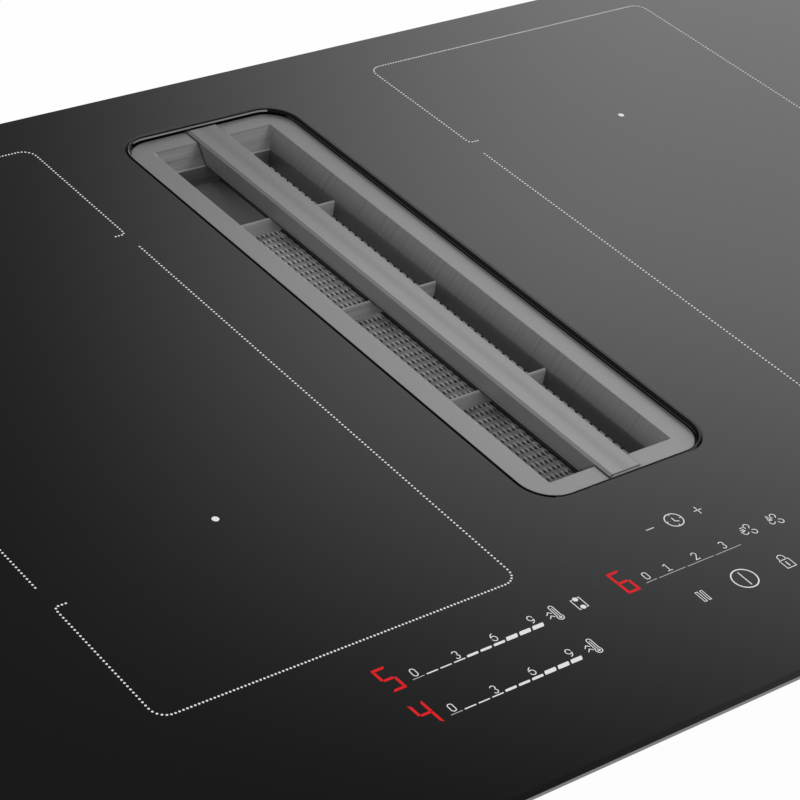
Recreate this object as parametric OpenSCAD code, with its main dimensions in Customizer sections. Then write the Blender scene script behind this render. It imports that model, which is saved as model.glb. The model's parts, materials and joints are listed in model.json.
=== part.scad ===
// Downdraft induction cooktop: a black glass hob with an extractor slot in its middle, hung in a worktop.
// The origin is the middle of the glass, in the plane of the worktop's top. +Y is the back, +Z is up.
// Lengths are millimetres.

/* [Glass top] */
// Width of the glass, side to side
glass_w = 830; // [780:1:900]
// Depth of the glass, front to back
glass_d = 515; // [505:1:540]
// Thickness of the glass
glass_t = 4; // [3:0.5:6]
// Corner radius of the glass in plan
glass_r = 6; // [3:0.5:12]
// Run of the ground bevel along the front edge
bevel_run = 2; // [1:0.1:4]
// Drop of the ground bevel along the front edge
bevel_drop = 1.5; // [0.5:0.1:2]
// Leg of the small chamfer under the front edge
under_chamfer = 0.7; // [0.3:0.1:1]
// Thickness of the foam seal between glass and worktop
seal_t = 1.5; // [1:0.1:3]
// Width of the foam seal
seal_w = 8; // [5:0.5:8]
// Inset of the foam seal from the glass edge
seal_inset = 2; // [1:0.5:3]

/* [Extractor slot] */
// Sideways place of the slot's middle
vent_x = -12.7; // [-20:0.1:0]
// Glass between its front edge and the slot
slot_front = 137.5; // [125:0.5:150]
// Glass between its back edge and the slot
slot_back = 41; // [34:0.5:60]
// Width of the slot inside its trim
slot_w = 101; // [98:0.5:112]
// Corner radius of the slot inside its trim
slot_r = 16; // [10:0.5:20]
// Wall of the black trim that lines the slot
trim_t = 1.7; // [1:0.1:2.5]
// Width of the trim's rim on the glass, past its wall
rim_w = 0.8; // [0.6:0.1:2]
// Height of the trim's rim above the glass
rim_h = 0.4; // [0.2:0.1:0.8]
// Width of the trim's ledge that carries the grille
ledge_w = 6.5; // [5:0.5:8]

/* [Grille] */
// Sheet thickness of the grille
grille_t = 1.2; // [0.8:0.1:1.4]
// Depth of the grille's flange below the glass surface
grille_sink = 2.6; // [2.2:0.1:2.9]
// Gap round the grille's flange
grille_gap = 1; // [0.8:0.1:2]
// Width of the flange along the long sides
flange_side = 13.5; // [12:0.1:16]
// Width of the flange at the ends
flange_end = 11.3; // [10:0.1:14]
// Run of the sloping wall along the long sides
slope_side = 5.5; // [4:0.1:7]
// Run of the sloping wall at the ends
slope_end = 8.8; // [6:0.1:12]
// Depth of the sloping walls below the glass surface
slope_depth = 11.5; // [9:0.1:12.5]
// Height of the upright walls below the slopes
skirt_h = 9; // [7:0.1:10]
// Thickness of a cross bar
web_t = 2; // [1.5:0.1:4]
// Height of a cross bar
web_h = 8.5; // [5:0.1:8.8]
// Spacing of the cross bars
web_pitch = 83.5; // [75:0.5:88]
// Place of the middle cross bar, back from the slot's middle
web_shift = 7.3; // [0:0.1:10]
// Width of the deflector bar's top
bar_w = 18.5; // [16:0.5:22]
// Width of the deflector bar at its foot
bar_foot_w = 15.2; // [12:0.1:18]
// Thickness of the bar's end lips on the flange
bar_lip_t = 1.4; // [1:0.1:2]
// Depth of the shallow channel along the bar's top
bar_channel = 0.7; // [0.3:0.1:0.9]
// Width of the raised edge on each side of the channel
bar_ridge = 2.3; // [1.5:0.1:3]
// Run of the bevel at the bar's ends
bar_bevel = 1.2; // [0.6:0.1:2]
// Height of the small foot along the bar's underside
bar_foot_h = 1; // [0.6:0.1:1.5]

/* [Filter and tray] */
// Gap between the grille's upright walls and the filter sheets
filter_gap = 0.6; // [0.4:0.1:1]
// Width of the filter cassette past the grille's throat, on each side
filter_lap_x = 4; // [3:0.1:5]
// Length of the filter cassette past the grille's throat, at each end
filter_lap_y = 3.3; // [3:0.1:5]
// Height of the filter cassette
filter_h = 24.4; // [23:0.1:26]
// Wall of the filter cassette
filter_wall = 2; // [1.5:0.1:2.5]
// Width of the cassette's foot flange past its wall
foot_w = 6.5; // [5:0.1:8]
// Thickness of the cassette's foot flange
foot_t = 2; // [1.5:0.1:3]
// Thickness of the perforated sheets
sheet_t = 1; // [0.8:0.1:1.2]
// Fall of each perforated sheet towards the middle, in degrees
sheet_fall = 7; // [4:0.5:7.5]
// Radius of a hole in the perforated sheets
hole_r = 1.4; // [1:0.1:1.5]
// Spacing of the holes across a sheet
hole_pitch_x = 5.6; // [5.4:0.1:7]
// Spacing of the holes along a sheet
hole_pitch_y = 5.6; // [5.4:0.1:8]
// Width of the black spine between the two sheets
spine_w = 5; // [4:0.1:7]
// Gap between the collecting tray and the shelf's opening, on each side
tray_side_gap = 4.3; // [3:0.1:10]
// Gap between the collecting tray and the shelf's opening, at each end
tray_end_gap = 6.3; // [3:0.1:20]
// Height of the collecting tray
tray_h = 18; // [12:1:22]
// Wall of the collecting tray
tray_t = 1.6; // [1.2:0.1:2.5]
// Corner radius of the collecting tray
tray_r = 12; // [6:1:20]

/* [Air well and airbox] */
// Wall of the air well and the airbox
well_t = 2.5; // [2:0.1:3]
// Width of the well's flange under the glass, past the trim
well_lip = 9.8; // [7:0.1:12]
// Thickness of the filter shelf in the well
shelf_t = 3; // [2:0.1:4]
// Gap between the shelf and the filter cassette's wall
shelf_gap = 0.8; // [0.5:0.1:1]
// Inner width of the airbox
airbox_w = 190; // [170:1:200]
// Inner height of the airbox
airbox_h = 31; // [30:0.5:36]
// Height of the ribs that carry the tray
tray_rib_h = 11.5; // [9:0.5:12]
// Width of the airbox lid's flange past the walls
airbox_lip = 12; // [11:0.5:14]

/* [Case] */
// Overhang of the glass past the worktop cut-out, at each side
overhang_x = 11.5; // [11:0.5:14]
// Overhang of the glass past the worktop cut-out, front and back
overhang_y = 11.5; // [11:0.5:14]
// Gap between the case and the sides and back of the cut-out
case_gap = 5.5; // [5:0.5:8]
// Setback of the case from the front of the cut-out
case_front = 14; // [10:0.5:16]
// Sheet thickness of the case
case_t = 1; // [0.8:0.1:1.2]
// Depth of the case below the worktop's top
case_depth = 62; // [60:0.5:70]
// Depth of the shallow control bay at the front
bay_depth = 20; // [18:0.5:22]
// Length of the control bay, front to back
bay_d = 46; // [42:0.5:48]
// Corner radius of the case
case_r = 8; // [5:0.5:10]

/* [Cooking zones] */
// Sideways place of the left zone's coils
left_x = -194.5; // [-200:0.5:-190]
// Sideways place of the right zone's coils
right_x = 203.5; // [198:0.5:206]
// Room between the control bay's step and the front coils
coil_front = 39; // [30:1:50]
// Room between the rear coils and the case's back wall
coil_back = 21.5; // [15:0.5:30]
// Room between the front and the rear coils
coil_between = 18; // [8:1:40]
// Inner radius of a coil
coil_hole = 24; // [18:1:30]
// Turns of a coil
coil_turns = 9; // [6:1:11]
// Height of a coil's winding
coil_h = 3.5; // [2.5:0.1:4]
// Thickness of a coil carrier
carrier_t = 5.5; // [4:0.1:6]
// Thickness of a ferrite bar
ferrite_t = 4; // [3:0.1:5]
// Thickness of the insulation between coil and glass
mica_t = 1.2; // [0.8:0.1:1.5]

/* [Blower] */
// Distance from the blower's axis to the case's back wall
blower_back = 148.5; // [145:0.5:160]
// Outer radius of the impeller
wheel_r = 80; // [70:1:82]
// Depth of a blade, inwards from the rim
blade_d = 15; // [12:0.5:16]
// Number of blades
blade_n = 38; // [24:1:42]
// Overlap of the inlet's edge on the blades' rim
inlet_inset = 18; // [17:0.5:24]
// Gap between the impeller and the scroll's tongue
tongue_gap = 10; // [8:0.5:14]
// Angle of the tongue round the axis
tongue_angle = 147.6; // [135:0.1:155]
// Widest reach of the scroll past the impeller
scroll_reach = 66; // [60:1:70]
// Inner height of the scroll
scroll_h = 96.5; // [90:0.5:100]
// Wall of the scroll
scroll_t = 2.5; // [2:0.1:3]
// Inset of the duct spigot from the scroll's outlet, on each side
spigot_side = 2; // [1.5:0.1:6]
// Inset of the duct spigot from the scroll's outlet, above and below
spigot_rise = 5.75; // [4:0.05:8]
// Length of the duct spigot
spigot_d = 18; // [12:1:24]
// Radius of the motor's can
motor_r = 35; // [30:1:38]
// Height of the motor's can
motor_h = 45; // [40:1:48]
// Radius of the motor shaft
shaft_r = 4; // [3:0.5:5]

/* [Hidden] */
$fn = 48;
// Overrun of every cut past the face that it opens
cut = 1;
// Running clearance round a shaft or pin
run_gap = 0.05;
// Clearance between pieces that are pushed together
fit_gap = 0.3;

// Heights of the glass, the trim and the grille
glass_z = seal_t;
glass_top_z = glass_z + glass_t;
grille_top_z = glass_top_z - grille_sink;
ledge_z = grille_top_z - grille_t;
web_top_z = glass_top_z - slope_depth;
skirt_z = web_top_z - skirt_h;
bar_top_z = grille_top_z + bar_lip_t;

// Grille and slot in plan
slot_d = glass_d - slot_front - slot_back;
vent_y = (slot_front - slot_back) / 2;
flange_w = slot_w - 2 * grille_gap;
flange_d = slot_d - 2 * grille_gap;
mouth_w = flange_w - 2 * flange_side;
mouth_d = flange_d - 2 * flange_end;
throat_w = mouth_w - 2 * slope_side;
throat_d = mouth_d - 2 * slope_end;
trim_out_w = slot_w + 2 * trim_t;
trim_out_d = slot_d + 2 * trim_t;
trim_out_r = slot_r + trim_t;
trim_z = ledge_z - trim_t + fit_gap;
hole_w = trim_out_w + 2 * fit_gap;
hole_d = trim_out_d + 2 * fit_gap;

// Filter cassette
filter_w = throat_w + 2 * filter_lap_x;
filter_d = throat_d + 2 * filter_lap_y;
sheet_z = skirt_z - filter_gap;
filter_z = sheet_z - filter_h;
filter_in_w = filter_w - 2 * filter_wall;
filter_in_d = filter_d - 2 * filter_wall;
sheet_run = (filter_in_w - spine_w) / 2;
sheet_drop = sheet_run * tan(sheet_fall);
mesh_top_z = sheet_z - sheet_drop - 2 * sheet_t;
mesh_bottom_z = filter_z + foot_t;

// Air well
well_in_w = slot_w - 2 * ledge_w;
well_in_d = slot_d - 2 * ledge_w;
well_out_w = well_in_w + 2 * well_t;
well_out_d = well_in_d + 2 * well_t;
well_r = slot_r - ledge_w;
well_lip_w = hole_w + 2 * well_lip;
well_lip_d = hole_d + 2 * well_lip;
well_lip_t = 3;
well_rib_n = 7;
well_rib_t = 2;
well_rib_run = 9;
well_rib_h = 24;
shelf_w = filter_w + 2 * shelf_gap;
shelf_d = filter_d + 2 * shelf_gap;
tray_w = shelf_w - 2 * tray_side_gap;
tray_d = shelf_d - 2 * tray_end_gap;

// Airbox under the case
lid_z = -case_depth - well_t;
airbox_d = well_in_d;
airbox_floor_z = lid_z - airbox_h;
airbox_z = airbox_floor_z - well_t;
airbox_r = 14;
tray_z = airbox_floor_z + tray_rib_h;
tray_rib_t = 3;
tray_rib_share = 0.38;
airbox_screw_n = 4;
airbox_out_w = airbox_w + 2 * well_t;
airbox_out_d = airbox_d + 2 * well_t;

// Screws
screw_r = 2;
screw_head_r = 3.6;
screw_head_h = 2.2;
screw_gap = 0.2;

// Case
cutout_w = glass_w - 2 * overhang_x;
cutout_d = glass_d - 2 * overhang_y;
case_w = cutout_w - 2 * case_gap;
case_y0 = -cutout_d / 2 + case_front;
case_y1 = cutout_d / 2 - case_gap;
step_y = case_y0 + bay_d;
case_lip = 3;
case_lip_t = 1.2;
floor_z = case_t - case_depth;
bay_floor_z = case_t - bay_depth;
vent_slot_l = 56;
vent_slot_w = 4;
vent_slot_pitch = 8;
vent_slot_n = 9;
step_slot_l = 18;
step_slot_n = 14;
step_slot_h = 3;

// Stack from the glass down to the shield plates
mica_z = glass_z - mica_t;
coil_z = mica_z - coil_h;
carrier_z = coil_z - carrier_t;
ferrite_z = carrier_z - ferrite_t;
plate_t = 1;
plate_z = ferrite_z - plate_t;
plate_margin = 6;
carrier_r = (case_y1 - step_y - coil_front - coil_between - coil_back) / 4;
carrier_margin = 3;
coil_r = carrier_r - carrier_margin;
front_y = step_y + coil_front + carrier_r;
rear_y = case_y1 - coil_back - carrier_r;
coil_pitch = (coil_r - coil_hole) / coil_turns;
coil_wire_share = 0.74;
mica_margin = 2;
mica_r = coil_r + mica_margin;
ferrite_inset = 8;
ferrite_l = coil_r - coil_hole - ferrite_inset;
ferrite_w = 12;
ferrite_n = 6;
sensor_r = 7;
lead_r = 1.6;
lead_off = 16;
lead_in = coil_hole + lead_off;
lead_spread = 9;
lead_hole_r = 3;
plate_w = 2 * (carrier_r + plate_margin);
plate_d = rear_y - front_y + 2 * (carrier_r + plate_margin);
plate_y = (rear_y + front_y) / 2;

// Cooling fans
fan_w = 80;
fan_top_gap = 25.3;
fan_h = plate_z - floor_z - fan_top_gap;
fan_bore_r = 37;
fan_back = 22.5;
fan_y = case_y1 - fan_back - fan_w / 2;
fan_hub_r = 14;
fan_base_t = 2;
fan_pin_r = 1.5;
fan_strut_w = 5;
fan_blade_n = 7;
fan_blade_t = 1.4;
fan_blade_gap = 11;
fan_blade_h = fan_h - fan_blade_gap;
fan_blade_pitch = 38;
fan_tip_gap = 1.5;
fan_lift = 2;
fan_rotor_z = floor_z + fan_base_t + fan_lift;

// Power electronics
board_t = 1.6;
post_h = 9;
post_r = 3;
board_w = 150;
board_front = 63;
board_back = 31;
board_y0 = step_y + board_front;
board_y1 = fan_y - fan_w / 2 - board_back;
board_d = board_y1 - board_y0;
board_y = (board_y0 + board_y1) / 2;
board_z = floor_z + post_h;
board_top_z = board_z + board_t;
board_room = plate_z - board_top_z;
post_inset = 8;
sink_w = 48;
sink_end = 20;
sink_d = board_d - 2 * sink_end;
sink_gap = 10.7;
sink_h = board_room - sink_gap;
sink_base = 5;
sink_fin_t = 1.6;
sink_fin_n = 9;
sink_off = -42;
switch_n = 4;
switch_w = 5;
switch_d = 16;
switch_gap = 15.7;
switch_h = board_room - switch_gap;
switch_end = 32;
switch_pitch = (sink_d - 2 * switch_end) / (switch_n - 1);
cap_n = 4;
cap_w = 18;
cap_d = 32;
cap_gap = 11.7;
cap_h = board_room - cap_gap;
cap_off = 30;
cap_end = 49;
cap_pitch = (board_d - 2 * cap_end) / (cap_n - 1);
choke_r = 15;
choke_hole = 7;
choke_h = 14;
choke_off = 58;

// Mains side
mains_x = -341;
mains_w = 84;
mains_d = 150;
mains_gap = 7;
gland_x = mains_x;
gland_rise = 19;
gland_z = floor_z + gland_rise;
gland_r = 10;
gland_bore_r = 5.6;
gland_nut_r = 13;
gland_nut_h = 5;
gland_l = 20;
block_w = 64;
block_d = 26;
block_h = 22;
block_gap = 8.5;
block_y = case_y1 + case_t - gland_l - block_gap - block_d / 2;
block_pole_n = 5;
block_pole_r = 3.5;
mains_y = block_y - block_d / 2 - mains_gap - mains_d / 2;
driver_x = 345;
driver_w = 80;
driver_d = 130;
driver_back = 105.5;
driver_y = case_y1 - driver_back - driver_d / 2;

// Control bay
control_w = 300;
control_x = -88;
control_gap = 5;
control_d = bay_d - 2 * control_gap;
control_y = case_y0 + bay_d / 2;
control_post_h = 10;
control_z = bay_floor_z + control_post_h;
control_top_z = control_z + board_t;
touch_r = 3.5;
touch_n = 16;
touch_pitch = 13;
touch_x = -172;
touch_off = 8;
touch_y = control_y + touch_off;
display_w = 22;
display_d = 12;
display_h = 5;
display_off = 6;
display_row_y = control_y - display_off;
display_xs_share = [-0.35, -0.1, 0.3];

// Worktop clamps
clamp_y = 150;
clamp_w = 36;
clamp_t = 1.5;
clamp_top_z = -12;
clamp_foot_z = -40;
clamp_foot_l = 26;
clamp_hole_r = 2.75;
clamp_hole_x = 14;

// Blower
blower_y = case_y1 - blower_back;
inlet_r = wheel_r - inlet_inset;
tongue_r = wheel_r + tongue_gap;
scroll_r = wheel_r + scroll_reach;
outlet_w = scroll_r - tongue_r * cos(tongue_angle);
spigot_w = outlet_w - 2 * spigot_side;
spigot_h = scroll_h - 2 * spigot_rise;
scroll_top_z = airbox_z;
scroll_in_z = scroll_top_z - well_t;
scroll_floor_z = scroll_in_z - scroll_h;
scroll_z = scroll_floor_z - scroll_t;
scroll_end_y = case_y1 - blower_y - spigot_d;
tongue_x = outlet_w - scroll_r;
scroll_step_angle = 8;
scroll_steps = ceil((360 - tongue_angle) / scroll_step_angle);
outlet_mid_x = scroll_r - outlet_w / 2;
outlet_mid_z = scroll_floor_z + scroll_h / 2;
scroll_lip = 9;
scroll_lip_t = 3;
spigot_t = 3;
spigot_flange = 10;
spigot_flange_t = 3;
spigot_r = 8;
bell_h = 9;
bell_t = 2;
wheel_gap = 12;
wheel_top_z = scroll_in_z - wheel_gap;
wheel_floor_gap = 4.5;
wheel_plate_t = 2;
blade_h = scroll_h - wheel_gap - wheel_plate_t - wheel_floor_gap;
wheel_ring_w = 5;
wheel_ring_t = 2;
wheel_plate_z = wheel_top_z - blade_h;
wheel_hat_gap = 5;
hub_r = 11;
hub_h = 9;
motor_top_z = scroll_floor_z + motor_h;
hat_z = motor_top_z + wheel_hat_gap;
shaft_depth = 14;
shaft_top = 4;
blade_t = 1.3;
blade_sweep_angle = 13;
blade_inset = 0.4;
motor_flange_r = 44;
motor_flange_t = 4;
blower_screw_off = 14;
blower_screw_r = inlet_r + bell_t + blower_screw_off;

// A flat rounded rectangle about the origin
module rounded_sheet(w, d, r) {
    square([w - 2 * r, d], center = true);
    square([w, d - 2 * r], center = true);
    for (sx = [-1, 1], sy = [-1, 1])
        translate([sx * (w / 2 - r), sy * (d / 2 - r)])
            circle(r = r);
}

// A rounded rectangle between two heights
module slab(w, d, r, z0, z1) {
    translate([0, 0, z0])
        linear_extrude(height = z1 - z0)
            rounded_sheet(w, d, r);
}

// A frame between two heights, from an outer and an inner rounded rectangle
module frame_slab(w, d, r, in_w, in_d, in_r, z0, z1) {
    difference() {
        slab(w, d, r, z0, z1);
        slab(in_w, in_d, in_r, z0 - cut, z1 + cut);
    }
}

// A box from its middle in plan, its sizes and its two heights
module plan_box(w, d, z0, z1) {
    translate([-w / 2, -d / 2, z0])
        cube([w, d, z1 - z0]);
}

// A pillar between two heights
module pillar(r, z0, z1) {
    translate([0, 0, z0])
        cylinder(r = r, h = z1 - z0);
}

// A profile in the XZ plane, run along Y about the origin
module along_y(length) {
    translate([0, length / 2, 0])
        rotate([90, 0, 0])
            linear_extrude(height = length)
                children();
}

// A profile in the YZ plane, run along X about the origin
module along_x(length) {
    translate([-length / 2, 0, 0])
        rotate([90, 0, 90])
            linear_extrude(height = length)
                children();
}

module at_vent() {
    translate([vent_x, vent_y, 0])
        children();
}

module at_blower() {
    translate([vent_x, blower_y, 0])
        children();
}

module glass_top() {
    color("#101113")
        difference() {
            slab(glass_w, glass_d, glass_r, glass_z, glass_top_z);
            at_vent()
                slab(hole_w, hole_d, trim_out_r + fit_gap, glass_z - cut, glass_top_z + cut);
            front_bevel();
            front_chamfer();
        }
}

// The ground bevel that the front edge catches the light with
module front_bevel() {
    along_x(glass_w + 2 * cut)
        polygon([
            [-glass_d / 2 - cut, glass_top_z + cut],
            [-glass_d / 2 + bevel_run * (1 + cut / bevel_drop), glass_top_z + cut],
            [-glass_d / 2 - cut, glass_top_z - bevel_drop * (1 + cut / bevel_run)],
        ]);
}

module front_chamfer() {
    along_x(glass_w + 2 * cut)
        polygon([
            [-glass_d / 2 - cut, glass_z - cut],
            [-glass_d / 2 + under_chamfer + cut, glass_z - cut],
            [-glass_d / 2 - cut, glass_z + under_chamfer + cut],
        ]);
}

module slot_trim() {
    color("#0a0a0b")
        at_vent() {
            frame_slab(trim_out_w + 2 * rim_w, trim_out_d + 2 * rim_w, trim_out_r + rim_w,
                slot_w, slot_d, slot_r, glass_top_z, glass_top_z + rim_h);
            frame_slab(trim_out_w, trim_out_d, trim_out_r, slot_w, slot_d, slot_r, trim_z, glass_top_z);
            frame_slab(trim_out_w, trim_out_d, trim_out_r,
                well_in_w, well_in_d, well_r, trim_z, ledge_z);
        }
}

module worktop_seal() {
    out_w = glass_w - 2 * seal_inset;
    out_d = glass_d - 2 * seal_inset;
    color("#1c1c1c")
        frame_slab(out_w, out_d, glass_r, out_w - 2 * seal_w, out_d - 2 * seal_w, glass_r, 0, glass_z);
}

// The case's shell solid: a deep box with a shallow bay in front, drawn in by an inset on every face
module case_block(inset, top_z) {
    w = case_w - 2 * inset;
    r = case_r - inset;
    y0 = case_y0 + inset;
    y1 = case_y1 - inset;
    step = step_y + inset;
    translate([0, (y0 + y1) / 2, 0])
        slab(w, y1 - y0, r, inset - bay_depth, top_z);
    translate([0, (step + y1) / 2, 0])
        slab(w, y1 - step, r, inset - case_depth, top_z);
}

module case_top_flange() {
    w = case_w + 2 * case_lip;
    d = case_y1 - case_y0 + 2 * case_lip;
    translate([0, (case_y0 + case_y1) / 2, 0])
        frame_slab(w, d, case_r + case_lip, case_w - 2 * case_t, case_y1 - case_y0 - 2 * case_t,
            case_r - case_t, glass_z - case_lip_t, glass_z);
}

// The slots that each cooling fan draws its air through
module fan_slots() {
    for (i = [0 : vent_slot_n - 1])
        translate([0, (i - (vent_slot_n - 1) / 2) * vent_slot_pitch, 0])
            slab(vent_slot_l, vent_slot_w, vent_slot_w / 2 - case_t / 2, -case_depth - cut, floor_z + cut);
}

// The slots in the step between the control bay and the deep box, where the warm air leaves
module step_slots() {
    pitch = plate_w / step_slot_n * 2;
    for (x = [left_x, right_x], i = [0 : step_slot_n / 2 - 1])
        translate([x + (i - (step_slot_n / 2 - 1) / 2) * pitch, step_y, (floor_z - bay_depth) / 2])
            cube([step_slot_l, 4 * cut + case_t, step_slot_h], center = true);
}

// The whole case as one shell of sheet, which the three modules after it share out
module case_shell() {
    difference() {
        union() {
            case_block(0, glass_z);
            case_top_flange();
        }
        case_block(case_t, glass_z + cut);
        at_vent()
            slab(well_out_w + 2 * fit_gap, well_out_d + 2 * fit_gap, well_r + well_t + fit_gap,
                -case_depth - cut, floor_z + cut);
        for (x = [left_x, right_x])
            translate([x, fan_y, 0])
                fan_slots();
        step_slots();
        airbox_screw_places()
            pillar(screw_r + screw_gap, -case_depth - cut, floor_z + cut);
        translate([gland_x, case_y1 + cut, gland_z])
            rotate([90, 0, 0])
                cylinder(r = gland_r + screw_gap, h = case_t + 2 * cut);
        bracket_screw_places()
            rotate([0, 90, 0])
                cylinder(r = screw_r + screw_gap, h = 2 * (case_t + cut), center = true);
    }
}

// The case's sheet between two lines across it and two heights
module case_part(y0, y1, z0, z1) {
    intersection() {
        case_shell();
        translate([-glass_w / 2, y0, z0])
            cube([glass_w, y1 - y0, z1 - z0]);
    }
}

module case_floor() {
    color("#9a9da0")
        case_part(case_y0, glass_d, -case_depth, floor_z);
}

// The shallow bay's floor and the slotted step behind it
module control_bay() {
    color("#a2a5a8")
        case_part(-glass_d, step_y + case_r, floor_z, bay_floor_z);
}

module case_walls() {
    color("#9a9da0") {
        case_part(step_y + case_r, glass_d, floor_z, bay_floor_z);
        case_part(-glass_d, glass_d, bay_floor_z, glass_z);
    }
}

// The upright tube from the slot down to the airbox
module air_well() {
    color("#26282a")
        at_vent()
            frame_slab(well_out_w, well_out_d, well_r + well_t, well_in_w, well_in_d, well_r,
                -case_depth, trim_z);
}

// The flange under the glass that the well hangs from, with the gussets below it
module well_collar() {
    color("#26282a")
        at_vent() {
            frame_slab(well_lip_w, well_lip_d, trim_out_r + well_lip, well_out_w, well_out_d,
                well_r + well_t, glass_z - well_lip_t, trim_z);
            frame_slab(well_lip_w, well_lip_d, trim_out_r + well_lip, hole_w, hole_d,
                trim_out_r + fit_gap, trim_z, glass_z);
            well_ribs();
        }
}

module filter_shelf() {
    color("#26282a")
        at_vent()
            frame_slab(well_in_w, well_in_d, well_r, shelf_w, shelf_d, well_r, filter_z - shelf_t, filter_z);
}

// Gussets between the well's wall and its flange
module well_ribs() {
    top = glass_z - well_lip_t;
    pitch = (well_in_d - 2 * well_r) / well_rib_n;
    for (i = [0 : well_rib_n - 1], s = [-1, 1])
        translate([s * well_out_w / 2, (i - (well_rib_n - 1) / 2) * pitch, 0])
            along_y(well_rib_t)
                polygon([
                    [0, top],
                    [s * well_rib_run, top],
                    [0, top - well_rib_h],
                ]);
}

// Screws through the airbox lid's flange into the case
module airbox_screw_places() {
    x = airbox_out_w / 2 + airbox_lip / 2;
    pitch = airbox_out_d / airbox_screw_n;
    at_vent()
        for (s = [-1, 1], i = [0 : airbox_screw_n - 1])
            translate([s * x, (i - (airbox_screw_n - 1) / 2) * pitch, 0])
                children();
}

module airbox_lid() {
    color("#2b2d30")
        difference() {
            at_vent()
                frame_slab(airbox_out_w + 2 * airbox_lip, airbox_out_d, airbox_r,
                    well_in_w, well_in_d, well_r, lid_z, -case_depth);
            airbox_screw_places()
                pillar(screw_r + screw_gap, lid_z - cut, cut - case_depth);
        }
}

module airbox_walls() {
    color("#2b2d30")
        at_vent()
            frame_slab(airbox_out_w, airbox_out_d, airbox_r, airbox_w, airbox_d,
                airbox_r - well_t, airbox_floor_z, lid_z);
}

module airbox_floor() {
    color("#2b2d30")
        difference() {
            at_vent()
                slab(airbox_out_w, airbox_out_d, airbox_r, airbox_z, airbox_floor_z);
            at_blower() {
                pillar(inlet_r + bell_t, airbox_z - cut, airbox_floor_z + cut);
                blower_screw_ring()
                    pillar(screw_r + screw_gap, airbox_z - cut, airbox_floor_z + cut);
            }
        }
}

// Two low walls on the airbox's floor that carry the tray
module tray_rests() {
    color("#2b2d30")
        at_vent()
            for (s = [-1, 1])
                translate([0, s * tray_rib_share * tray_d, 0])
                    plan_box(tray_w, tray_rib_t, airbox_floor_z, tray_z);
}

module screw(z, length, up) {
    translate([0, 0, z])
        mirror([0, 0, up ? 0 : 1]) {
            cylinder(r = screw_r, h = length);
            translate([0, 0, -screw_head_h])
                cylinder(r = screw_head_r, h = screw_head_h);
        }
}

module airbox_screws() {
    color("#c9cbcd")
        airbox_screw_places()
            screw(lid_z, well_t + case_t + 2 * screw_gap, true);
}

// Screws round the inlet, from inside the airbox into the scroll's cover
module blower_screw_ring() {
    for (a = [45 : 90 : 315])
        rotate([0, 0, a])
            translate([blower_screw_r, 0, 0])
                children();
}

module blower_screws() {
    color("#c9cbcd")
        at_blower()
            blower_screw_ring()
                screw(airbox_floor_z, 2 * well_t - 2 * screw_gap, false);
}

// The scroll's outline: a spiral from the tongue round to the straight outlet, grown outwards by an offset
function spiral_r(a) = tongue_r + (scroll_r - tongue_r) * (a - tongue_angle) / (360 - tongue_angle);
function spiral_a(i) = tongue_angle + (360 - tongue_angle) * i / scroll_steps;
function spiral_pt(i, grow) = (spiral_r(spiral_a(i)) + grow) * [cos(spiral_a(i)), sin(spiral_a(i))];
function scroll_pts(grow) = concat(
    [for (i = [1 : scroll_steps]) spiral_pt(i, grow)],
    [[scroll_r + grow, scroll_end_y], [-tongue_x - grow, scroll_end_y]],
    [[-tongue_x - grow, tongue_r * sin(tongue_angle)]]);

module scroll_slab(grow, z0, z1) {
    translate([0, 0, z0])
        linear_extrude(height = z1 - z0)
            polygon(scroll_pts(grow));
}

// Screws through the rims of the scroll's two halves, at every few steps of the spiral
module scroll_screw_places() {
    for (i = [2 : 4 : scroll_steps])
        translate(spiral_pt(i, scroll_t + scroll_lip / 2))
            children();
}

module scroll_cover() {
    color("#33363a")
        at_blower()
            difference() {
                scroll_slab(scroll_t + scroll_lip, scroll_in_z, scroll_top_z);
                pillar(inlet_r + bell_t, scroll_in_z - cut, scroll_top_z + cut);
                scroll_screw_places()
                    pillar(screw_r + screw_gap, scroll_in_z - cut, scroll_top_z + cut);
                blower_screw_ring()
                    pillar(screw_r + screw_gap, scroll_in_z - cut, scroll_top_z + cut);
            }
}

// The tapering ring in the cover's hole that leads the air into the wheel
module inlet_ring() {
    color("#2b2e31")
        at_blower()
            rotate_extrude()
                polygon([
                    [inlet_r - bell_t, scroll_in_z - bell_h],
                    [inlet_r, scroll_in_z - bell_h],
                    [inlet_r + bell_t, scroll_in_z],
                    [inlet_r + bell_t, scroll_top_z],
                    [inlet_r, scroll_top_z],
                ]);
}

module scroll_housing() {
    color("#33363a")
        at_blower()
            difference() {
                union() {
                    scroll_slab(scroll_t, scroll_z, scroll_in_z);
                    scroll_slab(scroll_t + scroll_lip, scroll_in_z - scroll_lip_t, scroll_in_z);
                }
                difference() {
                    scroll_slab(0, scroll_floor_z, scroll_in_z + cut);
                    outlet_sill();
                }
                outlet_mouth();
                scroll_screw_places()
                    pillar(screw_r + screw_gap, scroll_in_z - scroll_lip_t - cut, scroll_in_z + cut);
            }
}

// The strips above and below the outlet, where the spigot's flange is fixed
module outlet_sill() {
    sill = (scroll_h - spigot_h) / 2 + spigot_t;
    for (z = [scroll_floor_z, scroll_in_z - sill])
        translate([-tongue_x, scroll_end_y - scroll_t, z])
            cube([outlet_w, scroll_t + cut, sill]);
}

module outlet_mouth() {
    w = spigot_w - 2 * spigot_t;
    h = spigot_h - 2 * spigot_t;
    translate([outlet_mid_x - w / 2, scroll_end_y - 2 * scroll_t, outlet_mid_z - h / 2])
        cube([w, 2 * scroll_t + cut, h]);
}

module scroll_screws() {
    color("#c9cbcd")
        at_blower()
            scroll_screw_places()
                screw(scroll_in_z - scroll_lip_t, scroll_lip_t + well_t - screw_gap, true);
}

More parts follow.
